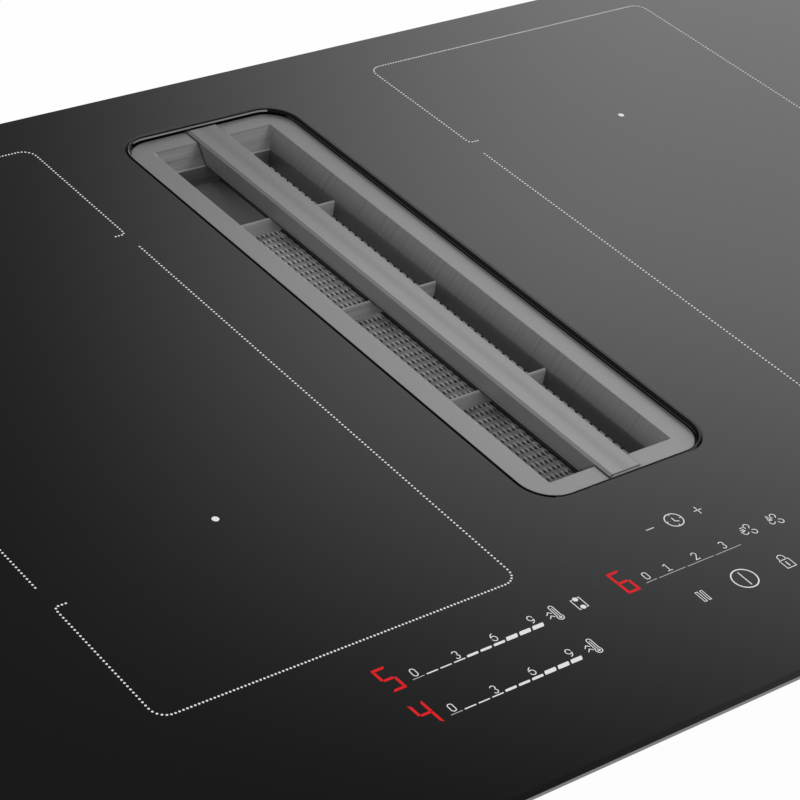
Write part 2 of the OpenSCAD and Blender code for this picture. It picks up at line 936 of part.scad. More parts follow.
// The flat-duct collar at the back, with a rounded rectangular section
module duct_spigot() {
    color("#33363a")
        at_blower()
            translate([outlet_mid_x, scroll_end_y, outlet_mid_z])
                rotate([-90, 0, 0])
                    difference() {
                        union() {
                            slab(outlet_w + spigot_flange, scroll_h + scroll_t, spigot_r, 0, spigot_flange_t);
                            slab(spigot_w, spigot_h, spigot_r, 0, spigot_d);
                        }
                        slab(spigot_w - 2 * spigot_t, spigot_h - 2 * spigot_t, spigot_r - spigot_t,
                            -cut, spigot_d + cut);
                    }
}

module blower_motor() {
    color("#8c8f93")
        at_blower()
            rotate_extrude()
                polygon([
                    [0, scroll_floor_z],
                    [motor_flange_r, scroll_floor_z],
                    [motor_flange_r, scroll_floor_z + motor_flange_t],
                    [motor_r, scroll_floor_z + motor_flange_t],
                    [motor_r, motor_top_z - motor_flange_t],
                    [motor_r - motor_flange_t, motor_top_z],
                    [shaft_r + run_gap, motor_top_z],
                    [shaft_r + run_gap, motor_top_z - shaft_depth],
                    [0, motor_top_z - shaft_depth],
                ]);
}

module motor_shaft() {
    color("#d5d7d9")
        at_blower()
            pillar(shaft_r, motor_top_z - shaft_depth + run_gap, hat_z + hub_h + shaft_top);
}

// One forward-curved blade: its chord leans further round as it nears the rim
function blade_edge(t, side) =
    let (r = wheel_r - blade_d + (blade_d - blade_inset) * t,
         a = blade_sweep_angle * t * t + side * blade_t / r * 90 / PI)
    r * [cos(a), sin(a)];

module blade() {
    steps = 4;
    polygon(concat(
        [for (i = [0 : steps]) blade_edge(i / steps, 1)],
        [for (i = [steps : -1 : 0]) blade_edge(i / steps, -1)]));
}

// The drum wheel's bottom plate, with a hat over the motor and the hub
module impeller() {
    hat_in = motor_r + wheel_hat_gap;
    color("#1f3d5c")
        at_blower()
            rotate_extrude()
                polygon([
                    [shaft_r, hat_z],
                    [hat_in, hat_z],
                    [hat_in, wheel_plate_z - wheel_plate_t],
                    [wheel_r, wheel_plate_z - wheel_plate_t],
                    [wheel_r, wheel_plate_z],
                    [hat_in + wheel_plate_t, wheel_plate_z],
                    [hat_in + wheel_plate_t, hat_z + wheel_plate_t],
                    [hub_r, hat_z + wheel_plate_t],
                    [hub_r, hat_z + hub_h],
                    [shaft_r, hat_z + hub_h],
                ]);
}

// The wheel's blades, upright on the plate, and the ring that ties their tops
module impeller_blades() {
    color("#1f3d5c")
        at_blower() {
            for (i = [0 : blade_n - 1])
                rotate([0, 0, i * 360 / blade_n])
                    translate([0, 0, wheel_plate_z])
                        linear_extrude(height = blade_h - wheel_ring_t / 2)
                            blade();
            rotate_extrude()
                translate([wheel_r - wheel_ring_w, wheel_top_z - wheel_ring_t])
                    square([wheel_ring_w, wheel_ring_t]);
        }
}

module collecting_tray() {
    color("#3a3d40")
        at_vent()
            difference() {
                slab(tray_w, tray_d, tray_r, tray_z, tray_z + tray_h);
                slab(tray_w - 2 * tray_t, tray_d - 2 * tray_t, tray_r - tray_t,
                    tray_z + tray_t, tray_z + tray_h + cut);
            }
}

// The cassette: an upright frame on a foot flange, with a lip and cross bars that carry the mesh
module filter_frame() {
    color("#2f3234")
        at_vent() {
            difference() {
                union() {
                    slab(filter_w, filter_d, filter_wall, filter_z, sheet_z);
                    slab(filter_w + 2 * foot_w, filter_d + 2 * foot_w, foot_w, filter_z, filter_z + foot_t);
                }
                plan_box(filter_in_w, filter_in_d, filter_z + foot_t, sheet_z + cut);
                plan_box(filter_in_w - 2 * filter_wall, filter_in_d - 2 * filter_wall,
                    filter_z - cut, sheet_z + cut);
            }
            for (i = [-1 : 1])
                translate([0, i * filter_in_d / 4, 0])
                    plan_box(filter_in_w, filter_wall, filter_z, filter_z + foot_t);
        }
}

module filter_spine() {
    color("#0d0d0e")
        at_vent()
            plan_box(spine_w, filter_in_d, mesh_bottom_z, sheet_z - sheet_drop + sheet_t / 2);
}

module filter_mesh() {
    w = sheet_run;
    color("#b9bcbf")
        at_vent()
            for (s = [-1, 1])
                translate([s * (spine_w + w) / 2, 0, 0])
                    plan_box(w, filter_in_d, mesh_bottom_z, mesh_top_z);
}

// One perforated sheet, falling from the cassette's side to the spine, with holes in staggered rows
module filter_sheet(side) {
    cols = floor((sheet_run - hole_pitch_x) / hole_pitch_x);
    rows = floor((filter_in_d - 2 * hole_pitch_y) / hole_pitch_y);
    color("#c7cacc")
        at_vent()
            difference() {
                along_y(filter_in_d)
                    polygon([
                        [side * filter_in_w / 2, sheet_z],
                        [side * spine_w / 2, sheet_z - sheet_drop],
                        [side * spine_w / 2, sheet_z - sheet_drop - sheet_t],
                        [side * filter_in_w / 2, sheet_z - sheet_t],
                    ]);
                for (i = [0 : rows - 1], j = [0 : cols - 1])
                    translate([
                        side * (spine_w / 2 + (j + 1 + (i % 2) / 2) * hole_pitch_x),
                        (i - (rows - 1) / 2) * hole_pitch_y, 0])
                        pillar(hole_r, sheet_z - sheet_drop - sheet_t - cut, sheet_z + cut);
            }
}

module filter_sheet_left() {
    filter_sheet(-1);
}

module filter_sheet_right() {
    filter_sheet(1);
}

// The grille's inner void across the slot, grown by an offset
module void_across(grow) {
    polygon([
        [-mouth_w / 2 - grow, grille_top_z + cut],
        [-mouth_w / 2 - grow, grille_top_z],
        [-throat_w / 2 - grow, web_top_z],
        [-throat_w / 2 - grow, skirt_z - (grow > 0 ? 0 : cut)],
        [throat_w / 2 + grow, skirt_z - (grow > 0 ? 0 : cut)],
        [throat_w / 2 + grow, web_top_z],
        [mouth_w / 2 + grow, grille_top_z],
        [mouth_w / 2 + grow, grille_top_z + cut],
    ]);
}

// The grille's inner void along the slot, grown by an offset
module void_along(grow) {
    polygon([
        [-mouth_d / 2 - grow, grille_top_z + cut],
        [-mouth_d / 2 - grow, grille_top_z],
        [-throat_d / 2 - grow, web_top_z],
        [-throat_d / 2 - grow, skirt_z - (grow > 0 ? 0 : cut)],
        [throat_d / 2 + grow, skirt_z - (grow > 0 ? 0 : cut)],
        [throat_d / 2 + grow, web_top_z],
        [mouth_d / 2 + grow, grille_top_z],
        [mouth_d / 2 + grow, grille_top_z + cut],
    ]);
}

module funnel_solid(grow) {
    intersection() {
        along_y(flange_d)
            void_across(grow);
        along_x(flange_w)
            void_along(grow);
    }
}

// A flat rim, sloping walls below it, and upright walls below those
module grille_frame() {
    color("#8f9194")
        at_vent()
            difference() {
                union() {
                    slab(flange_w, flange_d, slot_r - grille_gap, ledge_z, grille_top_z);
                    difference() {
                        funnel_solid(grille_t);
                        plan_box(flange_w, flange_d, grille_top_z - grille_t / 2, grille_top_z + 2 * cut);
                    }
                }
                funnel_solid(0);
            }
}

module grille_crossbars() {
    color("#86888b")
        at_vent()
            for (i = [-1 : 1])
                translate([0, web_shift + i * web_pitch, 0])
                    plan_box(throat_w, web_t, web_top_z - web_h, web_top_z);
}

// The bar's section: a shallow channel between two ridges, side walls that draw in, and a small foot
module bar_section() {
    half = bar_w / 2;
    foot = bar_foot_w / 2;
    step = bar_ridge / 4;
    polygon([
        [-half + bar_ridge, bar_top_z - bar_channel / 2],
        [-half + bar_ridge / 2, bar_top_z],
        [-half, bar_top_z - bar_channel / 2],
        [-half, grille_top_z],
        [-half + step, grille_top_z - step],
        [-foot - step / 2, web_top_z + bar_foot_h],
        [-foot - step, web_top_z + bar_foot_h],
        [-foot - step, web_top_z],
        [foot + step, web_top_z],
        [foot + step, web_top_z + bar_foot_h],
        [foot + step / 2, web_top_z + bar_foot_h],
        [half - step, grille_top_z - step],
        [half, grille_top_z],
        [half, bar_top_z - bar_channel / 2],
        [half - bar_ridge / 2, bar_top_z],
        [half - bar_ridge, bar_top_z - bar_channel / 2],
        [half / 3, bar_top_z - bar_channel],
        [-half / 3, bar_top_z - bar_channel],
    ]);
}

// The bar's side outline: bevelled lips on the flange, and ends that follow the sloping walls
module bar_outline() {
    polygon([
        [-flange_d / 2, grille_top_z],
        [-flange_d / 2 + bar_bevel, bar_top_z + fit_gap],
        [flange_d / 2 - bar_bevel, bar_top_z + fit_gap],
        [flange_d / 2, grille_top_z],
        [mouth_d / 2 - fit_gap, grille_top_z],
        [throat_d / 2 - fit_gap, web_top_z],
        [-throat_d / 2 + fit_gap, web_top_z],
        [-mouth_d / 2 + fit_gap, grille_top_z],
    ]);
}

module deflector_bar() {
    color("#94969a")
        at_vent()
            intersection() {
                along_y(flange_d)
                    bar_section();
                along_x(bar_w)
                    bar_outline();
            }
}

// A flat spiral winding: both edges of the strip follow one Archimedean spiral
module coil_winding() {
    steps = 24;
    strip = coil_pitch * coil_wire_share;
    count = coil_turns * steps;
    color("#b4663a")
        translate([0, 0, coil_z])
            linear_extrude(height = coil_h)
                polygon(concat(
                    [for (i = [0 : count]) (coil_hole + coil_pitch * i / steps - coil_pitch + strip)
                        * [cos(i * 360 / steps), sin(i * 360 / steps)]],
                    [for (i = [count : -1 : 0]) (coil_hole + coil_pitch * i / steps - coil_pitch)
                        * [cos(i * 360 / steps), sin(i * 360 / steps)]]));
}

module coil_carrier() {
    color("#e4e1d8")
        difference() {
            pillar(carrier_r, carrier_z, coil_z);
            for (s = [-1, 1])
                translate([s * lead_spread, 0, 0])
                    for (y = [-lead_in, lead_in])
                        translate([0, y, 0])
                            pillar(lead_hole_r, carrier_z - cut, coil_z + cut);
        }
}

module coils_left() {
    for (y = [front_y, rear_y])
        translate([left_x, y, 0])
            coil_winding();
}

module coils_right() {
    for (y = [front_y, rear_y])
        translate([right_x, y, 0])
            coil_winding();
}

module coil_carriers() {
    at_all_coils()
        coil_carrier();
}

module at_all_coils() {
    for (x = [left_x, right_x], y = [front_y, rear_y])
        translate([x, y, 0])
            children();
}

module ferrite_bars() {
    color("#3c3c40")
        at_all_coils()
            for (i = [0 : ferrite_n - 1])
                rotate([0, 0, i * 360 / ferrite_n])
                    translate([coil_hole + ferrite_l / 2, 0, 0])
                        plan_box(ferrite_l, ferrite_w, ferrite_z, carrier_z);
}

module insulation_sheets() {
    color("#d9d4c4")
        at_all_coils()
            pillar(mica_r, mica_z, glass_z);
}

module zone_sensors() {
    color("#f2f2ee")
        at_all_coils()
            pillar(sensor_r, coil_z, mica_z);
}

// Two leads per coil, straight down from its carrier through the shield plate to the power board
module coil_leads() {
    color("#a33b2a")
        for (x = [left_x, right_x], s = [-1, 1]) {
            translate([x + s * lead_spread, front_y + lead_in, 0])
                pillar(lead_r, board_top_z, coil_z);
            translate([x + s * lead_spread, rear_y - lead_in, 0])
                pillar(lead_r, board_top_z, coil_z);
        }
}

// Folded aluminium plates: the coils lie on them, and their long legs stand on the case's floor
module shield_plates() {
    color("#c4c7ca")
        for (x = [left_x, right_x])
            translate([x, plate_y, 0])
                difference() {
                    plan_box(plate_w, plate_d, floor_z, ferrite_z);
                    plan_box(plate_w - 2 * plate_t, plate_d + 2 * cut, floor_z - cut, plate_z);
                    for (s = [-1, 1], y = [front_y + lead_in, rear_y - lead_in])
                        translate([s * lead_spread, y - plate_y, 0])
                            pillar(lead_hole_r, plate_z - cut, ferrite_z + cut);
                }
}

module circuit_board(w, d, z) {
    plan_box(w, d, z, z + board_t);
}

module power_boards() {
    color("#2e6b3f")
        for (x = [left_x, right_x])
            translate([x, board_y, 0])
                circuit_board(board_w, board_d, board_z);
}

// An extruded heat sink: a base with upright fins
module heat_sink() {
    gap = (sink_w - sink_fin_t) / (sink_fin_n - 1);
    color("#b5b8bb")
        translate([sink_off, board_y, board_top_z])
            along_y(sink_d) {
                translate([-sink_w / 2, 0])
                    square([sink_w, sink_base]);
                for (i = [0 : sink_fin_n - 1])
                    translate([i * gap - sink_w / 2, 0])
                        square([sink_fin_t, sink_h]);
            }
}

module heat_sinks() {
    for (x = [left_x, right_x])
        translate([x, 0, 0])
            heat_sink();
}

module power_switches() {
    color("#232325")
        for (x = [left_x, right_x], i = [0 : switch_n - 1])
            translate([x + sink_off + (sink_w + switch_w) / 2, board_y + (i - (switch_n - 1) / 2) * switch_pitch, 0])
                plan_box(switch_w, switch_d, board_top_z, board_top_z + switch_h);
}

module film_capacitors() {
    color("#d8c23a")
        for (x = [left_x, right_x], i = [0 : cap_n - 1])
            translate([x + cap_off, board_y + (i - (cap_n - 1) / 2) * cap_pitch, 0])
                plan_box(cap_w, cap_d, board_top_z, board_top_z + cap_h);
}

module filter_chokes() {
    color("#8a4f25")
        for (x = [left_x, right_x], s = [-1, 1])
            translate([x + choke_off, board_y + s * cap_pitch, board_top_z])
                difference() {
                    cylinder(r = choke_r, h = choke_h);
                    translate([0, 0, -cut])
                        cylinder(r = choke_hole, h = choke_h + 2 * cut);
                }
}

module post_set(w, d, z0, z1) {
    for (sx = [-1, 1], sy = [-1, 1])
        translate([sx * (w / 2 - post_inset), sy * (d / 2 - post_inset), 0])
            pillar(post_r, z0, z1);
}

module board_posts() {
    color("#e8e8e4") {
        for (x = [left_x, right_x])
            translate([x, board_y, 0])
                post_set(board_w, board_d, floor_z, board_z);
        translate([mains_x, mains_y, 0])
            post_set(mains_w, mains_d, floor_z, board_z);
        translate([driver_x, driver_y, 0])
            post_set(driver_w, driver_d, floor_z, board_z);
        translate([control_x, control_y, 0])
            post_set(control_w, control_d, bay_floor_z, control_z);
    }
}

// A square fan frame with a round bore, and a hub plate with a pin on four struts
module fan_housing() {
    color("#1d1d1f")
        translate([0, fan_y, 0]) {
            difference() {
                plan_box(fan_w, fan_w, floor_z, floor_z + fan_h);
                pillar(fan_bore_r, floor_z - cut, floor_z + fan_h + cut);
            }
            pillar(fan_hub_r, floor_z, floor_z + fan_base_t);
            for (a = [45, 135])
                rotate([0, 0, a])
                    plan_box(2 * fan_bore_r + fan_strut_w, fan_strut_w, floor_z, floor_z + fan_base_t);
            pillar(fan_pin_r, floor_z, fan_rotor_z + fan_blade_h);
        }
}

module fan_housings() {
    for (x = [left_x, right_x])
        translate([x, 0, 0])
            fan_housing();
}

// A hub with pitched blades, trimmed round at their tips
module fan_rotor() {
    top = fan_rotor_z + fan_blade_h + fan_base_t;
    tip = fan_bore_r - fan_tip_gap;
    color("#2a2a2c")
        translate([0, fan_y, 0])
            difference() {
                union() {
                    pillar(fan_hub_r, fan_rotor_z, top);
                    intersection() {
                        pillar(tip, fan_rotor_z, top);
                        for (i = [0 : fan_blade_n - 1])
                            rotate([0, 0, i * 360 / fan_blade_n])
                                translate([tip / 2 + fan_hub_r / 2, 0, (fan_rotor_z + top) / 2])
                                    rotate([fan_blade_pitch, 0, 0])
                                        cube([tip, fan_blade_t, 2 * fan_blade_h], center = true);
                    }
                }
                pillar(fan_pin_r + run_gap, fan_rotor_z - cut, fan_rotor_z + fan_blade_h + run_gap);
            }
}

module fan_rotor_left() {
    translate([left_x, 0, 0])
        fan_rotor();
}

module fan_rotor_right() {
    translate([right_x, 0, 0])
        fan_rotor();
}

module mains_board() {
    color("#2e6b3f")
        translate([mains_x, mains_y, 0])
            circuit_board(mains_w, mains_d, board_z);
}

// A row of screw terminals in an insulating block
module terminal_block() {
    pitch = block_w / block_pole_n;
    color("#e6e3da")
        translate([mains_x, block_y, 0])
            difference() {
                plan_box(block_w, block_d, floor_z, floor_z + block_h);
                for (i = [0 : block_pole_n - 1])
                    translate([(i - (block_pole_n - 1) / 2) * pitch, 0, 0])
                        pillar(block_pole_r, floor_z + block_h / 2, floor_z + block_h + cut);
            }
}

// The strain relief in the back wall: a bored sleeve with a nut on each side of the sheet
module cord_gland() {
    color("#3d3f42")
        translate([gland_x, case_y1, gland_z])
            rotate([-90, 0, 0])
                difference() {
                    union() {
                        translate([0, 0, case_t - gland_l])
                            cylinder(r = gland_r, h = gland_l);
                        cylinder(r = gland_nut_r, h = gland_nut_h);
                        translate([0, 0, -case_t - gland_nut_h])
                            cylinder(r = gland_nut_r, h = gland_nut_h);
                    }
                    translate([0, 0, -gland_l])
                        cylinder(r = gland_bore_r, h = 2 * gland_l);
                }
}

module blower_driver() {
    color("#2e6b3f")
        translate([driver_x, driver_y, 0])
            circuit_board(driver_w, driver_d, board_z);
}

module control_board() {
    color("#20242a")
        translate([control_x, control_y, 0])
            circuit_board(control_w, control_d, control_z);
}

// Contact springs that stand between the control board and the glass
module touch_springs() {
    color("#d0b060")
        for (i = [0 : touch_n - 1])
            translate([touch_x + i * touch_pitch, touch_y, 0])
                pillar(touch_r, control_top_z, glass_z);
}

module display_modules() {
    color("#5a1414")
        for (share = display_xs_share)
            translate([control_x + share * control_w, display_row_y, 0])
                plan_box(display_w, display_d, control_top_z, control_top_z + display_h);
}

// An angle on each side of the case, with a foot under the worktop
module clamp_brackets() {
    color("#b0b3b6")
        for (s = [-1, 1], y = [-clamp_y, clamp_y])
            difference() {
                translate([s * case_w / 2, y, 0])
                    along_y(clamp_w)
                        polygon([
                            [0, clamp_top_z],
                            [s * clamp_t, clamp_top_z],
                            [s * clamp_t, clamp_foot_z],
                            [s * (clamp_t + clamp_foot_l), clamp_foot_z],
                            [s * (clamp_t + clamp_foot_l), clamp_foot_z - clamp_t],
                            [0, clamp_foot_z - clamp_t],
                        ]);
                translate([s * (case_w / 2 + clamp_t + clamp_hole_x), y, 0])
                    pillar(clamp_hole_r, clamp_foot_z - clamp_t - cut, clamp_foot_z + cut);
                bracket_screw_places()
                    rotate([0, 90, 0])
                        cylinder(r = screw_r + screw_gap, h = 2 * (clamp_t + cut), center = true);
            }
}

module bracket_screw_places() {
    for (s = [-1, 1], y = [-clamp_y, clamp_y], i = [-1, 1])
        translate([s * case_w / 2, y + i * clamp_w / 4, (clamp_top_z + clamp_foot_z) / 2])
            children();
}

module bracket_screws() {
    color("#c9cbcd")
        for (s = [-1, 1], y = [-clamp_y, clamp_y], i = [-1, 1])
            translate([s * (case_w / 2 + clamp_t), y + i * clamp_w / 4, (clamp_top_z + clamp_foot_z) / 2])
                rotate([0, s * 90, 0])
                    screw(0, clamp_t + case_t, false);
}

glass_top();
slot_trim();
worktop_seal();
case_floor();
control_bay();
case_walls();
air_well();
well_collar();
filter_shelf();
airbox_lid();
airbox_walls();
airbox_floor();
tray_rests();
airbox_screws();
scroll_cover();
inlet_ring();
scroll_housing();
scroll_screws();
blower_screws();
duct_spigot();
blower_motor();
motor_shaft();
impeller();
impeller_blades();
collecting_tray();
filter_frame();
filter_spine();
filter_sheet_left();
filter_sheet_right();
filter_mesh();
grille_frame();
grille_crossbars();
deflector_bar();
coils_left();
coils_right();
coil_carriers();
ferrite_bars();
insulation_sheets();
zone_sensors();
coil_leads();
shield_plates();
power_boards();
heat_sinks();
power_switches();
film_capacitors();
filter_chokes();
board_posts();
fan_housings();
fan_rotor_left();
fan_rotor_right();
mains_board();
terminal_block();
cord_gland();
blower_driver();
control_board();
touch_springs();
display_modules();
clamp_brackets();
bracket_screws();
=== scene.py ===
"""Looks of a downdraft induction cooktop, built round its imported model.

Every new piece is a surface worked out with numpy: a profile carried round a rounded rectangle, a section
carried along a line, a height over a grid, or a flat outline with a film's thickness. Lengths are metres; MM
turns millimetres into them.
"""
import json

import bpy
import numpy as np
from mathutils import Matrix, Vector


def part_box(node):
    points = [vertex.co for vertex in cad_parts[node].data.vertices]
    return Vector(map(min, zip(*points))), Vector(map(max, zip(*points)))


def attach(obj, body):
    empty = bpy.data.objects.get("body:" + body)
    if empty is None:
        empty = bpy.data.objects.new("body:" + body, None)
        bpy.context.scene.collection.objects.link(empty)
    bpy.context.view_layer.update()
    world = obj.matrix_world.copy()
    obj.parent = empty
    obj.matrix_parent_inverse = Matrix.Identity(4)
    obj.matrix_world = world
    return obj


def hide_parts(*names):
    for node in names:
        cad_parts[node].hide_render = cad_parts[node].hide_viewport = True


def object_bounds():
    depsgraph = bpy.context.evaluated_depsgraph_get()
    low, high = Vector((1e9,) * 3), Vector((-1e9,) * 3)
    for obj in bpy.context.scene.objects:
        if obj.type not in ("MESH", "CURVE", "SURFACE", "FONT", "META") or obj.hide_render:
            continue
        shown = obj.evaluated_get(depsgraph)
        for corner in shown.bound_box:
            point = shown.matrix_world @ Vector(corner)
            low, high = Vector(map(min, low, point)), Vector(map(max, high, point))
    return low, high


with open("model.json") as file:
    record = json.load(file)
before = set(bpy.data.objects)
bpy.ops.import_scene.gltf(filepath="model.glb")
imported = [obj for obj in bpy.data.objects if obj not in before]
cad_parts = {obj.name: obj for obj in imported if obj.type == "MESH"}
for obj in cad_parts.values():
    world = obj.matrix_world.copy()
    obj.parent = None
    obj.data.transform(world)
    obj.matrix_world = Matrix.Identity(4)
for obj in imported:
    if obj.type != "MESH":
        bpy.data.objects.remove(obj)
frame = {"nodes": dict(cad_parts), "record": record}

bl_info = {
    "name": "Downdraft Cooktop Looks",
    "version": (1, 0, 0),
    "blender": (4, 5, 0),
    "location": "3D View > Sidebar > Cooktop",
    "description": "Surfaces, printed marks and finishes of an induction cooktop with an extractor slot",
    "category": "Object",
}

MM = 0.001
CAD_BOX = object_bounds()
GLASS_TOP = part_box("glass_top")[1][2]
TRIM_LOW, TRIM_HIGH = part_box("slot_trim")
GRILLE_LOW, GRILLE_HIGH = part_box("grille_frame")
BAR_LOW, BAR_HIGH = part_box("deflector_bar")
WEB_LOW, WEB_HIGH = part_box("grille_crossbars")
SHEET_LOW, SHEET_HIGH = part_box("filter_sheet_left")
SPINE_LOW, SPINE_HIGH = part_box("filter_spine")
VENT_X = (GRILLE_LOW[0] + GRILLE_HIGH[0]) / 2
VENT_Y = (GRILLE_LOW[1] + GRILLE_HIGH[1]) / 2


def length(name, text, value):
    """A length in metres with its name, description and default in millimetres."""
    return bpy.props.FloatProperty(name=name, description=text, default=value * MM, unit="LENGTH",
                                   subtype="DISTANCE")


def paint(name, text, value):
    """A linear colour with its name, description and default."""
    return bpy.props.FloatVectorProperty(name=name, description=text, default=value, size=3, min=0, max=1,
                                         subtype="COLOR")


class VentSettings(bpy.types.PropertyGroup):
    """Sizes and colours of the grille, the bar, the trim and the filter sheets."""
    slot_round: length("Slot corner", "Corner radius of the slot in plan", 16.0)
    trim_bevel: length("Trim bevel", "Depth below the glass at which the trim's edge bevel begins", 0.55)
    ledge_drop: length("Ledge drop", "Depth of the trim's ledge below the grille's flange", 1.2)
    ledge_run: length("Ledge run", "Width of the ledge that carries the grille", 6.5)
    flange_side: length("Flange at the sides", "Width of the grille's rim along its long sides", 13.5)
    flange_end: length("Flange at the ends", "Width of the grille's rim at its two ends", 11.3)
    slope_side: length("Slope at the sides", "Run of the sloping wall along the long sides", 5.5)
    slope_end: length("Slope at the ends", "Run of the sloping wall at the two ends", 8.8)
    slope_low: length("Foot of the slopes", "Height of the slopes' lower edge over the worktop", -6.0)
    sheet: length("Grille sheet", "Thickness of the grille's sheet", 1.2)
    edge_round: length("Flange edge", "Radius of the flange's rolled edge", 0.35)
    flange_round: length("Flange corner", "Corner radius of the flange in plan", 15.5)
    mouth_round: length("Mouth corner", "Corner radius where the slopes meet in plan", 0.9)
    web_thick: length("Cross bar thickness", "Thickness of a cross bar", 1.5)
    web_pitch: length("Cross bar pitch", "Spacing of the three cross bars", 83.5)
    web_crown: length("Cross bar crown", "Height of a cross bar's rounded top edge", 0.7)
    web_shift: length("Cross bar shift", "Distance of the cross bars in front of their slots' middles", 0.25)
    end_bevel: length("Bar end bevel", "Run of the bevel at the bar's two ends", 1.2)
    # Painted shade: a thin dark strip under the bar stands in for its contact shadow
    shade_strip_thick: length("Gasket thickness", "Thickness of the strip under the bar", 0.3)
    shade_strip_lap: length("Gasket lap", "Width of the strip that shows beside the bar", 0.4)
    rail_shift: length("Rail shift", "Offset of the filter's rail from the bar's middle", 2.9)
    hole_across: length("Hole spacing across", "Spacing of the sheets' holes from side to side", 2.56)
    hole_along: length("Hole spacing along", "Spacing of the sheets' holes from front to back", 5.36)
    hole_wide: length("Hole width", "Width of an opening in the sheets", 1.4)
    hole_long: length("Hole length", "Length of an opening in the sheets", 2.75)
    knuckle: length("Knuckle height", "Rise of the rounded knuckles between the holes", 0.35)
    scallop: length("Scallop", "Depth of the scallops at a sheet's edge beside the rail", 0.8)
    lip_place: length("Lip place", "Distance of the right sheet's raised edge from the slot's middle", 29.75)
    steel: paint("Brushed steel", "Colour of the grille", (0.42, 0.42, 0.422))
    bar_metal: paint("Bar metal", "Colour of the deflector bar", (0.38, 0.38, 0.382))
    # Painted light: the cross bars get a lighter copy of the grille's steel to brighten them where the walls
    # shade them
    web_lit_steel: paint("Cross bar metal", "Colour of the cross bars", (0.68, 0.68, 0.68))
    sheet_metal: paint("Sheet metal", "Colour of the perforated sheets", (0.97, 0.97, 0.97))
    plate_metal: paint("Plate metal", "Colour of the plate over the left sheet's rear", (0.24, 0.24, 0.24))
    rail_black: paint("Rail", "Colour of the rail between the sheets", (0.05, 0.05, 0.051))
    # Painted shade: colour of the dark strip that stands in for the bar's contact shadow
    shade_strip_grey: paint("Contact_shade", "Colour of the strip under the bar", (0.03, 0.03, 0.03))
    trim_black: paint("Trim black", "Colour of the glossy trim", (0.004, 0.004, 0.0045))


class PrintSettings(bpy.types.PropertyGroup):
    """Sizes and colours of the marks printed on the glass."""
    film: length("Film height", "Height of the printed film above the glass", 0.04)
    dot_across: length("Dot pitch across", "Spacing of a zone's dots from side to side", 1.77)
    dot_along: length("Dot pitch along", "Spacing of a zone's dots from front to back", 2.08)
    dot_size: length("Dot size", "Diameter of a dot", 1.05)
    zone_round: length("Zone corner", "Corner radius of a zone's dotted line", 7.0)
    centre_size: length("Centre dot", "Diameter of the dot in the middle of a coil", 3.3)
    thin: length("Thin stroke", "Width of the strokes of digits and pictograms", 0.42)
    digit_tall: length("Digit height", "Height of the printed digits", 4.3)
    digit_wide: length("Digit width", "Width of the printed digits", 2.25)
    display_tall: length("Display height", "Height of the lit digits", 14.3)
    display_wide: length("Display width", "Width of the lit digits", 6.9)
    display_bar: length("Display bar", "Width of a lit digit's bars", 1.3)
    white: paint("Print", "Colour of the printed marks", (0.87, 0.88, 0.88))
    grey: paint("Grey print", "Colour of the thin lines under the digits", (0.42, 0.42, 0.42))
    red: paint("Display red", "Colour of the lit segments", (0.85, 0.012, 0.018))


class FinishSettings(bpy.types.PropertyGroup):
    """Colours of the glass and the floor."""
    glass: paint("Glass", "Colour of the black glass", (0.0035, 0.0036, 0.0038))
    ground_edge: paint("Ground edge", "Colour of the ground edge of the glass", (0.26, 0.27, 0.27))
    floor: paint("Floor", "Colour of the floor", (0.8, 0.8, 0.8))
    floor_drop: length("Floor drop", "Distance of the floor below the cooktop's lowest point", 2.0)
    floor_half: length("Floor half", "Half of the floor's width and depth", 8000.0)


# Meshes

def unit(vectors):
    """Rows scaled to length 1."""
    return vectors / np.linalg.norm(vectors, axis=1)[:, None]


def grid_quads(rows, cols, wrap_rows=False, wrap_cols=False):
    """Quads of a grid of points counted row by row; a wrapped direction joins its last line to its first."""
    down, along = np.arange(rows if wrap_rows else rows - 1), np.arange(cols if wrap_cols else cols - 1)
    i, j = (part.ravel() for part in np.meshgrid(down, along, indexing="ij"))
    k, m = (i + 1) % rows, (j + 1) % cols
    return np.stack([i * cols + j, i * cols + m, k * cols + m, k * cols + j], axis=1)


def signed_volume(points, faces):
    """Sum of the tetrahedra between the origin and each face's fan of triangles."""
    total = 0.0
    for size in {len(f) for f in faces}:
        p = points[np.array([f for f in faces if len(f) == size])]
        for k in range(1, size - 1):
            total += np.einsum("ij,ij->i", p[:, 0], np.cross(p[:, k], p[:, k + 1])).sum() / 6
    return total


def add_piece(name, points, faces, material, body, sharp=35.0, replaced=(), slot=None):
    """Puts points and faces into a mesh whose faces point outwards, and lets it ride on its body."""
    points = np.asarray(points, float).reshape(-1, 3)
    faces = [tuple(int(v) for v in f) for f in faces]
    if signed_volume(points, faces) < 0:
        faces = [f[::-1] for f in faces]
    mesh = bpy.data.meshes.new(name)
    mesh.from_pydata(points.tolist(), [], faces)
    mesh.update()
    piece = bpy.data.objects.new(name, mesh)
    bpy.context.scene.collection.objects.link(piece)
    mesh.materials.append(material)
    mesh.shade_smooth()
    mesh.set_sharp_from_angle(angle=np.radians(sharp))
    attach(piece, body)
    if replaced:
        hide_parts(*replaced)
    return piece


